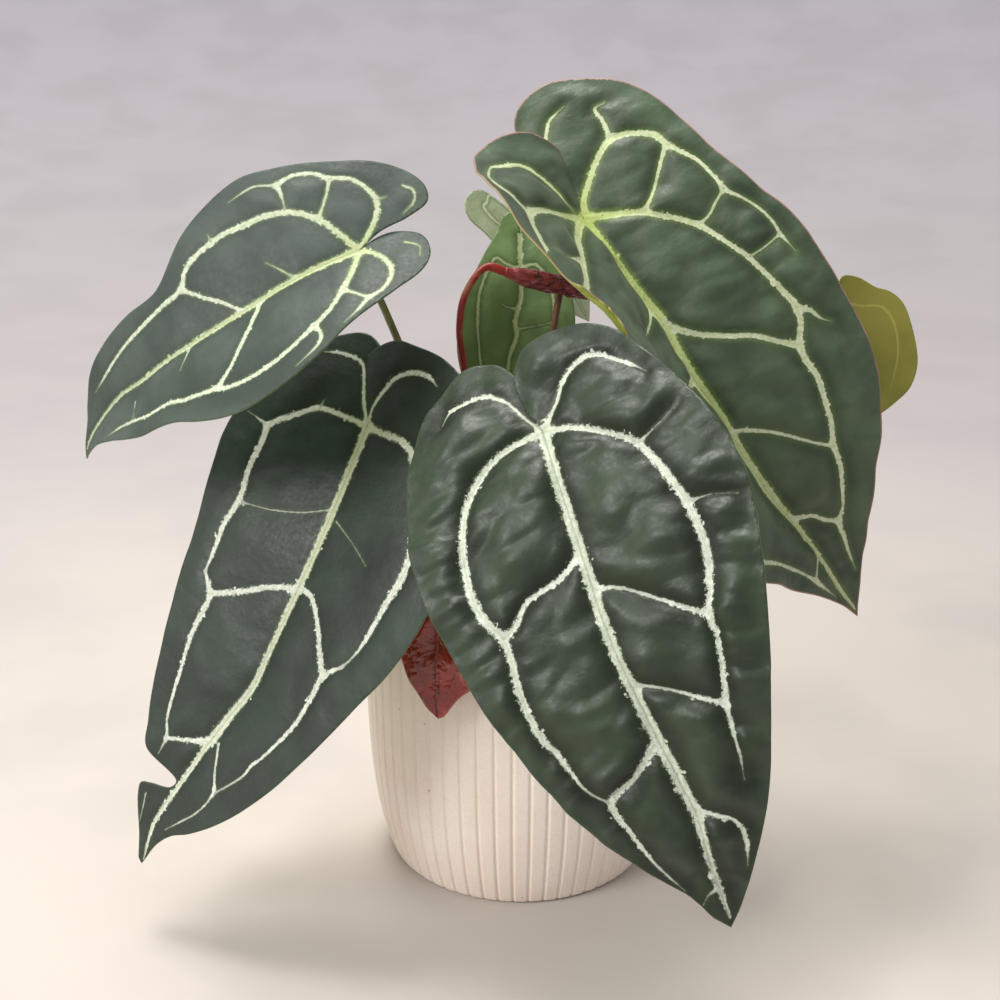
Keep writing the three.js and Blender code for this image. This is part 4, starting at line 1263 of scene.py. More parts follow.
YOUNG_LEAF = {
    "attach": (-30, -69, 160), "tip": (-34, -74, 97), "roll": 10, "droop": 25,
    "right": {
        "fold": 6,
        "outline": [
            (0, 0), (3, -6), (9, -9), (15, -4), (19, 8), (19, 24), (18, 38), (17, 45), (10, 52),
            (3, 62), (0, 64),
        ],
    },
    "left": {
        "fold": 6,
        "outline": [
            (0, 0), (3, -6), (9, -9), (15, -4), (19, 8), (19, 24), (16, 40), (12, 49), (5, 59),
            (0, 64),
        ],
    },
    "relief": CRUMPLED_RELIEF,
    "veins": [
        (0, [(0, 0, 1.6), (0, 30, 1.4), (0, 60, 0.7)]),
        (LEFT, [(0, 0, 1), (-8, 6, 1), (-12, 20, 1), (-11, 36, 0.8), (-5, 52, 0.5)]),
        (RIGHT, [(0, 0, 1), (8, 6, 1), (13, 20, 1), (12, 36, 0.8), (5, 52, 0.5)]),
    ],
    "stalk": {"angle": 235, "via": [(-12, -28, 158), (-22, -50, 172), (-28, -61, 168)]},
}


# ---- stalks ----

TOUCH_GAP = 0.3
CROWN_RADIUS = 8
CROWN_FOOT = 113.3
STALK_BASE_RADIUS = 1.8
STALK_TIP_RADIUS = 1.5
STALK_STRAIGHT = 15
STALK_REACH = 8
STALK_SINK = 0.2  # how far below the blade's middle surface a stalk ends
STALK_STEP = 1.2
STALK_SIDES = 20
STALK_RIBS, RIB_SHARE, RIB_TWIST = 7, 0.02, 0.02  # faint ribs, which turn a little at each ring
JOINT_LENGTH = 9  # of the swollen joint under the blade
JOINT_SWELL = 0.35
JOINT_WRINKLE, JOINT_WRINKLE_SIZE = 0.05, 2.5
SHEATH_LENGTH = 16  # of the widened foot
SHEATH_SWELL = 0.45

# The colours of a stalk's foot, middle and top, and its roughness.
STALK_SKINS = {
    "green": ("5f4d33", "66663a", "6f7a40", 0.45),
    "red": ("6b2a1e", "8a2a22", "a02a26", 0.32),
    "brown": ("5f4d33", "6b4a32", "7a4a34", 0.4),
}
STALK_FOOT_SHARES, STALK_TOP_SHARES = (0.05, 0.4), (0.6, 1.0)  # where its colours change
STREAK_STRETCH, STREAK_DARK, STREAK_DEPTH = (1, 1, 0.12), 0.45, 0.15
STREAK_NOISE = {"size": 0.8, "detail": 3}
BLOTCH_SIZE, BLOTCH_COLOR, BLOTCH_SHARE = 9, "8f8a52", 0.35
STALK_GLOSS_SPREAD = (-0.06, 0.08)


def stalk_line(stalk, ending):
    radius = CROWN_RADIUS + STALK_BASE_RADIUS + 2 * TOUCH_GAP
    angle = math.radians(stalk["angle"])
    foot = (radius * math.cos(angle), radius * math.sin(angle), CROWN_FOOT)
    above = (foot[0], foot[1], CROWN_FOOT + STALK_STRAIGHT)
    return spline([foot, above, *stalk["via"], *ending], STALK_STEP)


def add_stalk(name, line, material):
    """A stalk with a widened foot, a faintly ribbed side and a swollen joint under the blade."""
    travelled = np.arange(len(line)) * STALK_STEP
    left = travelled[-1] - travelled
    radii = lerp(STALK_BASE_RADIUS, STALK_TIP_RADIUS, travelled / travelled[-1])
    radii *= 1 + SHEATH_SWELL * (1 - smoothstep(travelled, 0, SHEATH_LENGTH))
    radii *= 1 + JOINT_SWELL * np.exp(-(((left - JOINT_LENGTH / 2) / (JOINT_LENGTH / 2)) ** 2))
    places = np.column_stack([travelled, np.zeros((len(line), 2))])
    wrinkles = JOINT_WRINKLE * noise_values(places, JOINT_WRINKLE_SIZE)
    wrinkles *= np.exp(-((left / JOINT_LENGTH) ** 2))

    def ribbed(row, angles):
        return 1 + wrinkles[row] + RIB_SHARE * np.cos(STALK_RIBS * angles + RIB_TWIST * row)

    points, faces = tube(line, radii, STALK_SIDES, ribbed)
    rise = np.concatenate([np.repeat(travelled / travelled[-1], STALK_SIDES), [0, 1]])
    piece = f"{name}_stalk"
    add_piece(piece, points, faces, material, [f"{name}_petiole"], {"rise": rise})


def leaf_stalk_ending(blade):
    upward = blade.upward()
    return [blade.attach - upward * STALK_REACH, blade.attach - upward * STALK_SINK]


def stalk_material(name, foot, middle, top, roughness):
    """A smooth stalk, streaked lengthways, whose colour changes from its foot to its top."""
    g = Graph(name)
    place = g.object_place()
    rise = g.value("rise")
    streak = g.noise(g.scaled(place, STREAK_STRETCH), **STREAK_NOISE)
    streaked = g.remap(streak, *CRESTS)
    blotch = g.noise(place, BLOTCH_SIZE)
    blotched = g.remap(blotch, *HIGH_CRESTS, 0, BLOTCH_SHARE)
    color = g.mix(g.remap(rise, *STALK_FOOT_SHARES), foot, middle)
    color = g.mix(g.remap(rise, *STALK_TOP_SHARES), color, top)
    color = g.mix(streaked, color, g.mix(STREAK_DARK, color, BLACK))
    color = g.mix(blotched, color, BLOTCH_COLOR)
    gloss = [roughness + spread for spread in STALK_GLOSS_SPREAD]
    return g.finish(color, g.remap(blotch, *ALL_OF_NOISE, *gloss), g.bump(streak, STREAK_DEPTH))


# ---- the rolled new leaf ----

ROLLED_ROUTE = [(-7, 10, 264.2), (2, 11, 261.7), (15.5, 11, 258.4), (30, 11, 255), (47, 12, 250)]
ROLLED_STALK = {
    "angle": 115,
    "via": [(-18, 6, 168), (-24, -1, 222), (-26, 0, 243), (-23.5, 2.5, 256)],
}
ROLL = {
    "radius": 4.3, "step": 0.6, "sides": 72,
    "foot_share": 0.5,  # its radius where the stalk ends, as a share of the whole,
    "swell_end": 0.2,  # which it reaches this far along
    "tip_share": 0.14,
    "taper_start": 0.5,
    "lip": 0.16,  # how far its outer edge stands out, as a share of the radius
    "lip_turn": 0.8,  # where round the roll that edge starts, in radians,
    "lip_twist": 1.5,  # and how far it turns by the tip
}
ROLL_STRETCH = 4  # the wrinkles run lengthways
ROLL_WRINKLES = [(0.22, 0.5, 0), (0.12, 0.22, 9)]  # each noise's height, size and shift
# Its pale pink is painted highlight, laid on the crests of the lengthways creases.
RED_SKIN = {
    "dark": "3a1018", "red": "741d26", "crease_and_highlight": "b0727a", "foot": "9c2320", "coat": 0.3,
    "crease_stretch": (0.35, 1, 1), "crease_depth": 0.4,
}
RED_BLOTCHES = {"size": 4, "detail": 3, "roughness": 0.6}
RED_CREASES = {"size": 1.2, "detail": 3}
CREASE_HIGHLIGHT_CRESTS = (0.55, 0.8)
RED_FOOT, RED_FOOT_SHARE = (0.0, 0.3), 0.6
RED_GLOSS = (0.22, 0.4)


def add_rolled_leaf(material):
    """A young blade rolled round itself, wrinkled, with its outer edge showing as a lip."""
    line = spline(ROLLED_ROUTE, ROLL["step"])
    share = np.linspace(0, 1, len(line))
    swell = lerp(ROLL["foot_share"], 1, smoothstep(share, 0, ROLL["swell_end"]))
    taper = smoothstep(share, ROLL["taper_start"], 1)
    radii = ROLL["radius"] * lerp(swell, ROLL["tip_share"], taper)

    def rolled(row, angles):
        turn = (angles + ROLL["lip_twist"] * share[row] + ROLL["lip_turn"]) % (2 * math.pi)
        scale = 1 - ROLL["lip"] * smoothstep(turn, 0, 2 * math.pi)
        along = np.full(len(angles), share[row] * ROLL_STRETCH)
        places = np.column_stack([np.cos(angles), np.sin(angles), along])
        for height, size, shift in ROLL_WRINKLES:
            scale += height * noise_values(places + shift, size)
        return scale

    points, faces = tube(line, radii, ROLL["sides"], rolled)
    values = {"rise": np.concatenate([np.repeat(share, ROLL["sides"]), [0, 1]])}
    node = ["rolled_leaf_blade"]
    add_piece("rolled_leaf_scroll", points, faces, material, node, values)


def rolled_stalk_ending():
    start, following = (np.array(p, float) for p in ROLLED_ROUTE[:2])
    back = unit(start - following)
    return [start + back * STALK_REACH, start - back]


def red_leaf_material():
    """Glossy dark red with painted highlights on its lengthways creases, brighter near the stalk.
    """
    g = Graph("rolled_leaf_skin")
    place = g.object_place()
    blotch = g.noise(place, **RED_BLOTCHES)
    crease_and_highlight = g.noise(g.scaled(place, RED_SKIN["crease_stretch"]), **RED_CREASES)
    foot = g.remap(g.value("rise"), *RED_FOOT, RED_FOOT_SHARE, 0)
    color = g.mix(g.remap(blotch, *MOST_OF_NOISE), RED_SKIN["dark"], RED_SKIN["red"])
    # painted highlight: pale pink on the crests of the creases
    color = g.mix(g.remap(crease_and_highlight, *CREASE_HIGHLIGHT_CRESTS), color, RED_SKIN["crease_and_highlight"])
    color = g.mix(foot, color, RED_SKIN["foot"])
    roughness = g.remap(blotch, *ALL_OF_NOISE, *RED_GLOSS)
    normal = g.bump(crease_and_highlight, RED_SKIN["crease_depth"])
    return g.finish(color, roughness, normal, coat=RED_SKIN["coat"])


# ---- the pot ----

POT = {
    "radius": 70, "base_radius": 60, "height": 128, "wall": 4, "floor": 5, "taper_height": 110,
    "taper_power": 4, "ribs": 58, "groove_depth": 0.9, "chamfer": 2, "rim_round": 1.6,
    "inner_corner": 4,
    "groove_share": 0.16,  # half a groove's width, as a share of a rib's
    "base_ring": 40,  # a ring of points inside the flat base
    "base_edge": 1,  # how far inside the chamfer the flat base's last ring lies
    "side_start": 3,  # the height of the first ring above the chamfer
    "inside_start": 2,  # how far above its floor the inside wall ends
}
POT_ROWS = {"chamfer": 6, "side": 58, "rim": 9, "inside": 20}
RIM_TURN = (10, 170)  # over the rim, in degrees from the outside
RIB_POINTS = (  # where the points of one rib lie, closer together in its groove
    0, 0.03, 0.06, 0.09, 0.12, 0.16, 0.2, 0.3, 0.5, 0.7, 0.8, 0.84, 0.88, 0.91, 0.94, 0.97,
)
POLE_RADIUS = 0.01  # the middle ring of a turned piece, which stands for its one middle point
CERAMIC = {
    "cream": "f5e7da", "pale": "faf0e5", "mottle": "d2c0b0", "speck": "6b5a4c",
    "speck_spacing": 9, "specular": 0.35, "grain_depth": 0.08,
}
CERAMIC_CLOUDS = {"size": 45, "detail": 3}
CERAMIC_GRAIN = {"size": 1.2, "detail": 4, "roughness": 0.6}
MOTTLE_CRESTS, MOTTLE_SHARE = (0.45, 0.8), 0.25
SPECK_SHARE = 0.8
SPECK_EDGE = (0.045, 0.03)  # of a cell's size, from outside a speck to inside it
CERAMIC_GLOSS = (0.55, 0.7)


def pot_radius(z):
    below = np.maximum(0, 1 - z / POT["taper_height"])
    return POT["radius"] - (POT["radius"] - POT["base_radius"]) * below ** POT["taper_power"]


def inner_radius(z):
    return float(pot_radius(z)) - POT["wall"]


def rib_depth(share):
    """How deep the groove is at this share of a rib: rounded, and deepest at 0 and 1."""
    away = np.minimum(share, 1 - share) / POT["groove_share"]
    return 1 - smoothstep(away, 0, 1)


def pot_profile():
    """The pot's section as (radius, height, groove depth), from under its base to inside it."""
    chamfer, rim, half_wall = POT["chamfer"], POT["rim_round"], POT["wall"] / 2
    depth, floor, rim_foot = POT["groove_depth"], POT["floor"], POT["height"] - POT["rim_round"]
    base_edge = POT["base_radius"] - chamfer - POT["base_edge"]
    section = [(0, 0, 0), (POT["base_ring"], 0, 0), (base_edge, 0, 0)]
    for turn in np.radians(np.linspace(0, 90, POT_ROWS["chamfer"])):
        z = chamfer * (1 - math.cos(turn))
        r = pot_radius(z) - chamfer * (1 - math.sin(turn))
        section.append((r, z, depth * math.sin(turn)))
    for z in np.linspace(POT["side_start"], rim_foot, POT_ROWS["side"]):
        section.append((float(pot_radius(z)), z, depth))
    for turn in np.radians(np.linspace(*RIM_TURN, POT_ROWS["rim"])):
        r = POT["radius"] - half_wall + half_wall * math.cos(turn)
        z = rim_foot + rim * math.sin(turn)
        section.append((r, z, depth * max(0, math.cos(turn))))
    for z in np.linspace(rim_foot, floor + POT["inside_start"], POT_ROWS["inside"]):
        section.append((inner_radius(z), z, 0))
    section.append((inner_radius(floor) - POT["inner_corner"], floor, 0))
    section.append((0, floor, 0))
    return section


def add_pot(material):
    shares = (np.arange(POT["ribs"])[:, None] + np.array(RIB_POINTS)).ravel()
    angles = 2 * math.pi * shares / POT["ribs"]
    depths = rib_depth(shares % 1)
    rings = [
        ring(max(radius, POLE_RADIUS) - depth * depths, angles, z)
        for radius, z, depth in pot_profile()
    ]
    faces = grid_faces(len(rings) - 1, len(angles), wrap=True)
    add_piece("fluted_pot", np.vstack(rings), faces, material, ["pot"])


def ceramic_material():
    """Matte cream glaze, faintly mottled, with a few tiny specks."""
    g = Graph("cream_ceramic")
    place = g.object_place()
    cloud = g.remap(g.noise(place, **CERAMIC_CLOUDS), *MOST_OF_NOISE)
    grain = g.noise(place, **CERAMIC_GRAIN)
    mottle = g.remap(grain, *MOTTLE_CRESTS, 0, MOTTLE_SHARE)
    speck = g.remap(g.cells(place, CERAMIC["speck_spacing"]), *SPECK_EDGE)
    color = g.mix(cloud, CERAMIC["cream"], CERAMIC["pale"])
    color = g.mix(mottle, color, CERAMIC["mottle"])
    color = g.mix(g.times(speck, SPECK_SHARE), color, CERAMIC["speck"])
    roughness = g.remap(grain, *ALL_OF_NOISE, *CERAMIC_GLOSS)
    normal = g.bump(grain, CERAMIC["grain_depth"])
    return g.finish(color, roughness, normal, specular=CERAMIC["specular"])


# ---- the potting mix ----

SOIL = {
    "top": 113, "edge_drop": 3, "edge_width": 4, "bumps": 1.1, "rings": 44, "sides": 200,
    "bump_bias": 0.6,  # the bumps lie mostly below the top
}
SOIL_BUMPS = [(0.6, 7), (0.4, 2.5)]  # each noise's share and size
SOIL_CALM = (9, 14)  # the radii between which the bumps begin, clear of the crown
SOIL_DEPTHS = (100, 58, 28, 12)  # the heights of its rings below the surface
SOIL_COLORS = {"dark": "1f1712", "brown": "4b3a2b", "crumb": "6b5038"}
SOIL_CRUMBS = {"size": 2.4, "detail": 5, "roughness": 0.7}
CRUMB_SPACING, CRUMB_EDGE, CRUMB_SHARE = 3.2, (0.5, 0.1), 0.5
SOIL_ROUGHNESS, SOIL_GRAIN_DEPTH = 0.95, 0.9

# Loose pieces on the mix: name, how many, their sizes, and their flatness.
BARK = ("bark_chips", 420, (3, 9), 0.45)
PERLITE = ("perlite_grains", 110, (1.6, 3.6), 0.9)
CHUNK_POINTS = 14
CHUNK_SPREAD = (0.75, 1.1)  # how far out its points lie, as shares of half its size
CHUNK_NARROW = 0.7
CHUNK_LEAN = 0.35  # the most it leans, in radians
CHUNK_ZONE = 61  # the radius within which they lie
CHUNK_CLEAR = 0.06  # the middle share of that area that stays free for the crown
CHUNK_LIFT = 0.12  # how far its middle lies above the mix, as a share of its height

BARK_SKIN = {"dark": "3a261a", "brown": "7d573a", "tan": "9b7450"}
BARK_LAYERS, BARK_STRETCH = {"size": 1.6, "detail": 4, "roughness": 0.65}, (0.4, 1, 1.6)
BARK_DRIFT, BARK_TINT, BARK_TINT_SHARE = {"size": 11, "detail": 1}, (0.4, 0.6), 0.5
BARK_ROUGHNESS, BARK_DEPTH = 0.85, 0.5
PERLITE_SKIN = {"pit": "b9b2a6", "white": "ece8df", "pit_spacing": 0.7, "pit_edge": (0.1, 0.5)}
PERLITE_ROUGHNESS, PERLITE_DEPTH = 0.9, 0.35


def soil_radius(z):
    return inner_radius(z) - 2 * TOUCH_GAP


def soil_height(x, y):
    r = np.hypot(x, y)
    edge = soil_radius(SOIL["top"])
    z = SOIL["top"] - SOIL["edge_drop"] * smoothstep(r, edge - SOIL["edge_width"], edge)
    flat = np.column_stack([x, y, np.zeros_like(x)])
    bumps = sum(share * noise_values(flat, size) for share, size in SOIL_BUMPS)
    return z - SOIL["bumps"] * (SOIL["bump_bias"] - bumps) * smoothstep(r, *SOIL_CALM)


def add_potting_mix(material):
    angles = np.linspace(0, 2 * math.pi, SOIL["sides"], endpoint=False)
    rings = []
    for r in np.linspace(POLE_RADIUS, soil_radius(SOIL["top"]), SOIL["rings"]):
        x, y = r * np.cos(angles), r * np.sin(angles)
        rings.append(np.column_stack([x, y, soil_height(x, y)]))
    bottom = POT["floor"] + TOUCH_GAP
    for z in (*SOIL_DEPTHS, bottom):
        rings.append(ring(soil_radius(z), angles, z))
    rings.append(ring(0, angles, bottom))
    faces = grid_faces(len(rings) - 1, len(angles), wrap=True)[:, ::-1]
    add_piece("soil_bed", np.vstack(rings), faces, material, ["potting_mix"])


def chunk(centre, size, flatness, draw):
    """A rough lump: the hull of a few random points, leaning and turned at random."""
    lump = bmesh.new()
    for _ in range(CHUNK_POINTS):
        direction = Vector([draw.gauss(0, 1) for _ in range(3)]).normalized()
        lump.verts.new(direction * size / 2 * draw.uniform(*CHUNK_SPREAD))
    bmesh.ops.convex_hull(lump, input=lump.verts)
    loose = [v for v in lump.verts if not v.link_faces]
    bmesh.ops.delete(lump, geom=loose, context="VERTS")
    lean = draw.uniform(-CHUNK_LEAN, CHUNK_LEAN)
    spin = draw.uniform(0, 2 * math.pi)
    points = []
    for vert in lump.verts:
        x, y, z = vert.co.x, vert.co.y * CHUNK_NARROW, vert.co.z * flatness
        x, z = x * math.cos(lean) - z * math.sin(lean), x * math.sin(lean) + z * math.cos(lean)
        x, y = x * math.cos(spin) - y * math.sin(spin), x * math.sin(spin) + y * math.cos(spin)
        points.append((centre[0] + x, centre[1] + y, centre[2] + z))
    lump.verts.index_update()
    faces = [[v.index for v in face.verts] for face in lump.faces]
    lump.free()
    return points, faces


def add_chunks(name, count, sizes, flatness, material):
    draw = random.Random(RANDOM_SEED + count)
    points, faces = [], []
    for _ in range(count):
        radius = CHUNK_ZONE * math.sqrt(draw.uniform(CHUNK_CLEAR, 1))
        angle = draw.uniform(0, 2 * math.pi)
        size = draw.uniform(*sizes)
        x, y = radius * math.cos(angle), radius * math.sin(angle)
        surface = float(soil_height(np.array([x]), np.array([y]))[0])
        centre = (x, y, surface + CHUNK_LIFT * size * flatness)
        lump, hull = chunk(centre, size, flatness, draw)
        faces += [[i + len(points) for i in face] for face in hull]
        points += lump
    piece = add_piece(name, points, faces, material, None)
    piece.data.shade_flat()


def soil_material():
    g = Graph("potting_mix_dark")
    place = g.object_place()
    grain = g.noise(place, **SOIL_CRUMBS)
    crumb = g.remap(g.cells(place, CRUMB_SPACING), *CRUMB_EDGE, 0, CRUMB_SHARE)
    mixed = g.remap(grain, *ALL_OF_NOISE)
    color = g.mix(mixed, SOIL_COLORS["dark"], SOIL_COLORS["brown"])
    color = g.mix(crumb, color, SOIL_COLORS["crumb"])
    return g.finish(color, SOIL_ROUGHNESS, g.bump(grain, SOIL_GRAIN_DEPTH))


def bark_material():
    g = Graph("bark_chips")
    place = g.object_place()
    layers = g.noise(g.scaled(place, BARK_STRETCH), **BARK_LAYERS)
    tint = g.remap(g.noise(place, **BARK_DRIFT), *BARK_TINT, 0, BARK_TINT_SHARE)
    color = g.mix(g.remap(layers, *ALL_OF_NOISE), BARK_SKIN["dark"], BARK_SKIN["brown"])
    color = g.mix(tint, color, BARK_SKIN["tan"])
    return g.finish(color, BARK_ROUGHNESS, g.bump(layers, BARK_DEPTH))


def perlite_material():
    g = Graph("perlite_grains")
    pits = g.cells(g.object_place(), PERLITE_SKIN["pit_spacing"])
    deep = g.remap(pits, *PERLITE_SKIN["pit_edge"])
    color = g.mix(deep, PERLITE_SKIN["pit"], PERLITE_SKIN["white"])
    return g.finish(color, PERLITE_ROUGHNESS, g.bump(pits, PERLITE_DEPTH))


# ---- the crown and its sheaths ----

CROWN = {
    "shoulder": 8, "height": 12, "sides": 72,
    "shoulder_rows": 18, "top_rows": 10, "row_gap": 0.3,
    "top_drop": 3,  # how much narrower its top is,
    "drop_start": 7.5,  # from this height
    "inset": 0.5,  # how far the skin lies inside its widest radius
    "sink": 0.3,  # how far its foot is sunk
    "top_rise": 0.2,  # how far the middle of its top stands up
}
CROWN_LUMPS = {"height": 0.45, "size": 1.2, "round": 3, "rise": 2.5}
SCAR_DEPTH, SCAR_TURN = 0.175, 2.4  # ring scars: their depth, and radians for each millimetre up
STEM_SKIN = {"dark": "4a3c26", "light": "8a7a4c", "stretch": (1, 1, 2.4), "depth": 0.5}
STEM_GRAIN = {"size": 2, "detail": 4, "roughness": 0.6}
STEM_ROUGHNESS = 0.8

CATAPHYLLS = {"front": 255, "left": 135, "back": 15}  # the angle where each one's middle stands
CATAPHYLL = {
    "height": 14, "span": 56, "thickness": 0.45, "taper": 0.85, "rows": 40, "columns": 30,
    "flare": 0.6,  # how far its tip stands out
}
TEAR = {"share": 0.12, "strips": 20}  # how far the tip's torn strips differ, and how many there are
CRINKLE = {"height": 0.5, "across": 9, "up": 1.5}
FIBRE_PLACE = (12, 14)  # across the sheath and up it, for its fibres' texture
FIBRE_STRETCH, FIBRE_DEPTH = (3, 0.15, 1), 0.3
FIBRE_NOISE = {"size": 0.8, "detail": 3, "roughness": 0.6}
SHEATH_SKIN = {"dark": "6b4a2e", "light": "b08a5c", "stain": "4a3220", "stain_size": 4}
STAIN_CRESTS, STAIN_SHARE = (0.5, 0.75), 0.6
SHEATH_ROUGHNESS = 0.85


def add_crown(material):
    """The short stem: knobbly, ringed by old leaf scars."""
    shoulder, top = CROWN["shoulder"], CROWN["height"]
    below = np.linspace(0, shoulder, CROWN["shoulder_rows"])
    above = np.linspace(shoulder + CROWN["row_gap"], top, CROWN["top_rows"])
    angles = np.linspace(0, 2 * math.pi, CROWN["sides"], endpoint=False)
    circle = np.column_stack([np.cos(angles), np.sin(angles)]) * CROWN_LUMPS["round"]
    foot = CROWN_FOOT - CROWN["sink"]
    rings = [ring(0, angles, foot)]
    for h in np.concatenate([below, above]):
        places = np.column_stack([circle, np.full(len(angles), h / CROWN_LUMPS["rise"])])
        lumps = CROWN_LUMPS["height"] * noise_values(places, CROWN_LUMPS["size"])
        radius = CROWN_RADIUS - CROWN["top_drop"] * smoothstep(h, CROWN["drop_start"], top)
        scar = SCAR_DEPTH * math.sin(h * SCAR_TURN)
        rings.append(ring(radius - CROWN["inset"] + lumps + scar, angles, foot + h))
    rings.append(ring(0, angles, CROWN_FOOT + top + CROWN["top_rise"]))
    faces = grid_faces(len(rings) - 1, len(angles), wrap=True)
    add_piece("short_stem", np.vstack(rings), faces, material, ["crown_stem"])


def crown_material():
    g = Graph("stem_bark")
    grain = g.noise(g.scaled(g.object_place(), STEM_SKIN["stretch"]), **STEM_GRAIN)
    color = g.mix(g.remap(grain, *ALL_OF_NOISE), STEM_SKIN["dark"], STEM_SKIN["light"])
    return g.finish(color, STEM_ROUGHNESS, g.bump(grain, STEM_SKIN["depth"]))


def add_cataphyll(name, middle_angle, material):
    """A dry papery sheath round the feet of the stalks, torn into strips at its tip."""
    base_radius = CROWN_RADIUS + 2 * STALK_BASE_RADIUS + 4 * TOUCH_GAP
    rows, columns = CATAPHYLL["rows"], CATAPHYLL["columns"]
    up, across = np.meshgrid(
        np.linspace(0, 1, rows + 1), np.linspace(-0.5, 0.5, columns + 1), indexing="ij"
    )
    up, across = up.ravel(), across.ravel()
    own = np.full(len(up), float(middle_angle))  # keeps its noises apart from the other sheaths'
    width = np.radians(CATAPHYLL["span"] * (1 - CATAPHYLL["taper"] * up**2))
    angle = math.radians(middle_angle) + across * width
    tear = noise_values(np.column_stack([across * TEAR["strips"], up * 0, own]), 1)
    height = CATAPHYLL["height"] * up * (1 + TEAR["share"] * tear * up)
    folds = np.column_stack([across * CRINKLE["across"], up * CRINKLE["up"], own])
    crinkle = CRINKLE["height"] * noise_values(folds, 1) * up
    radius = base_radius + crinkle + CATAPHYLL["flare"] * up**2
    middle = np.column_stack([radius * np.cos(angle), radius * np.sin(angle), CROWN_FOOT + height])
    quads = grid_faces(rows, columns)
    triangles = np.vstack([quads[:, [0, 1, 2]], quads[:, [0, 2, 3]]])
    points, faces, _ = closed_shell(middle, triangles, CATAPHYLL["thickness"])
    strand = np.column_stack([across * FIBRE_PLACE[0], up * FIBRE_PLACE[1], own])
    values = {"strand": np.vstack([strand, strand])}
    node = [f"cataphyll_{name}"]
    add_piece(f"dry_sheath_{name}", points, faces, material, node, values)


def cataphyll_material():
    g = Graph("dry_sheath_fibres")
    strand = g.place("strand")
    fibre = g.noise(g.scaled(strand, FIBRE_STRETCH), **FIBRE_NOISE)
    stain = g.remap(g.noise(strand, SHEATH_SKIN["stain_size"]), *STAIN_CRESTS, 0, STAIN_SHARE)
    fibrous = g.remap(fibre, *ALL_OF_NOISE)
    color = g.mix(fibrous, SHEATH_SKIN["dark"], SHEATH_SKIN["light"])
    color = g.mix(stain, color, SHEATH_SKIN["stain"])
    return g.finish(color, SHEATH_ROUGHNESS, g.bump(fibre, FIBRE_DEPTH))


# ---- the studio ----

STUDIO = {
    "flat": 800,  # the radius of the level part of the floor
    "radius": 4000, "height": 1500,
    "sweep": 2.6,  # how late the floor rises: the power of its curve
    "level_rings": 20, "rising_rings": 60, "sides": 96,
}
PAPER = {"warm": "cbc4bb", "middle": "b6b1b0", "cool": "c2bec4", "cloud": "a9a5a7"}
PAPER_NEAR, PAPER_FAR = (100, 900), (900, 3000)  # distances between which its colour changes
PAPER_CLOUDS = {"size": 160, "detail": 4}
PAPER_CRESTS, PAPER_CLOUD_SHARE = (0.4, 0.65), 0.25


def add_studio():
    """A round pale floor that sweeps up very gently into a wall, the same from every side."""
    flat, radius = STUDIO["flat"], STUDIO["radius"]
    level = np.geomspace(POLE_RADIUS, flat, STUDIO["level_rings"])
    rising = np.linspace(flat, radius, STUDIO["rising_rings"])[1:]
    share = (rising - flat) / (radius - flat)
    radii = np.concatenate([level, rising])
    heights = np.concatenate([level * 0, STUDIO["height"] * share ** STUDIO["sweep"]])
    angles = np.linspace(0, 2 * math.pi, STUDIO["sides"], endpoint=False)
    rings = [ring(r, angles, z) for r, z in zip(radii, heights)]
    faces = grid_faces(len(rings) - 1, STUDIO["sides"], wrap=True)
    mesh = bpy.data.meshes.new("studio_cove")
    mesh.from_pydata((np.vstack(rings) * MM).tolist(), [], faces.tolist())
    mesh.shade_smooth()
    mesh.materials.append(studio_material())
    cove = bpy.data.objects.new("studio_cove", mesh)
    bpy.context.scene.collection.objects.link(cove)


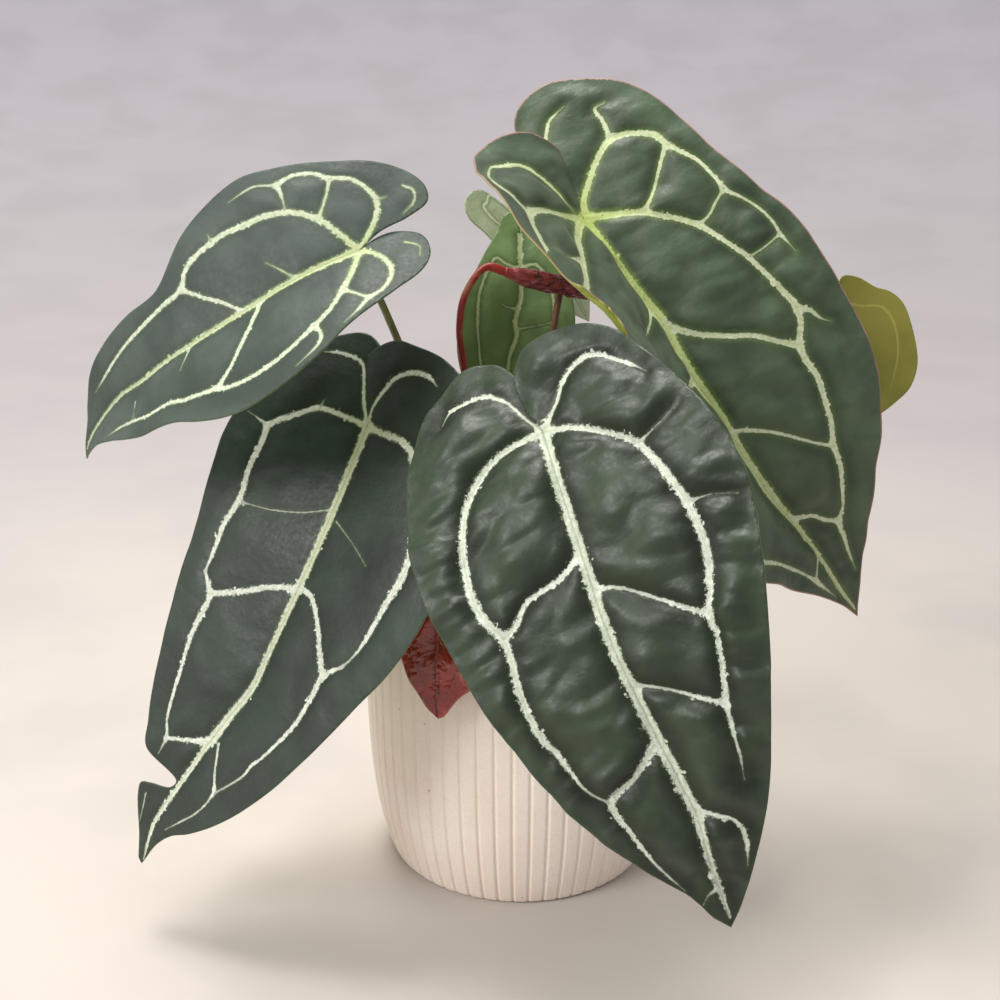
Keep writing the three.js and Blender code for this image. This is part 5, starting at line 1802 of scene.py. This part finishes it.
def studio_material():
    """Warm near the pot and cooler further out, with faint clouds."""
    g = Graph("studio_paper")
    place = g.object_place()
    away = g.node("VectorMath", {0: place}, operation="LENGTH").outputs["Value"]
    cloud = g.remap(g.noise(place, **PAPER_CLOUDS), *PAPER_CRESTS, 0, PAPER_CLOUD_SHARE)
    color = g.mix(g.remap(away, *PAPER_NEAR), PAPER["warm"], PAPER["middle"])
    color = g.mix(g.remap(away, *PAPER_FAR), color, PAPER["cool"])
    color = g.mix(cloud, color, PAPER["cloud"])
    return g.finish(color, 1.0, specular=0.0)


# ---- the whole plant ----

# Each leaf's name, shape, look and material slot, and the kind of its stalk.
LEAVES = [
    ("front_leaf", FRONT_LEAF, DARK_LOOK, "dark_leaf", "green"),
    ("lower_left_leaf", LOWER_LEFT_LEAF, LOWER_LOOK, "dark_leaf", "green"),
    ("upper_left_leaf", UPPER_LEFT_LEAF, GREY_LOOK, "grey_leaf", "green"),
    ("upper_right_leaf", UPPER_RIGHT_LEAF, UPPER_RIGHT_LOOK, "dark_leaf", "brown"),
    ("back_centre_leaf", BACK_CENTRE_LEAF, CENTRE_LOOK, "pale_leaf", "green"),
    ("back_left_leaf", BACK_LEFT_LEAF, PALE_LOOK, "pale_leaf", "green"),
    ("back_right_leaf", BACK_RIGHT_LEAF, OLIVE_LOOK, "olive_leaf", "green"),
    ("young_leaf", YOUNG_LEAF, YOUNG_LOOK, "red_leaf", "red"),
]


def add_plant():
    stalks = {
        kind: stalk_material(f"{kind}_stalk", *skin) for kind, skin in STALK_SKINS.items()
    }
    for name, leaf, look, slot, kind in LEAVES:
        blade = add_blade(name, leaf, leaf_material(f"{name}_skin", look))
        line = stalk_line(leaf["stalk"], leaf_stalk_ending(blade))
        add_stalk(name, line, stalks[kind])
    add_rolled_leaf(red_leaf_material())
    line = stalk_line(ROLLED_STALK, rolled_stalk_ending())
    add_stalk("rolled_leaf", line, stalks["red"])
    add_crown(crown_material())
    sheath = cataphyll_material()
    for name, angle in CATAPHYLLS.items():
        add_cataphyll(name, angle, sheath)


def add_pot_and_mix():
    add_pot(ceramic_material())
    add_potting_mix(soil_material())
    add_chunks(*BARK, bark_material())
    add_chunks(*PERLITE, perlite_material())


add_camera()
add_lights()
add_studio()
add_pot_and_mix()
add_plant()
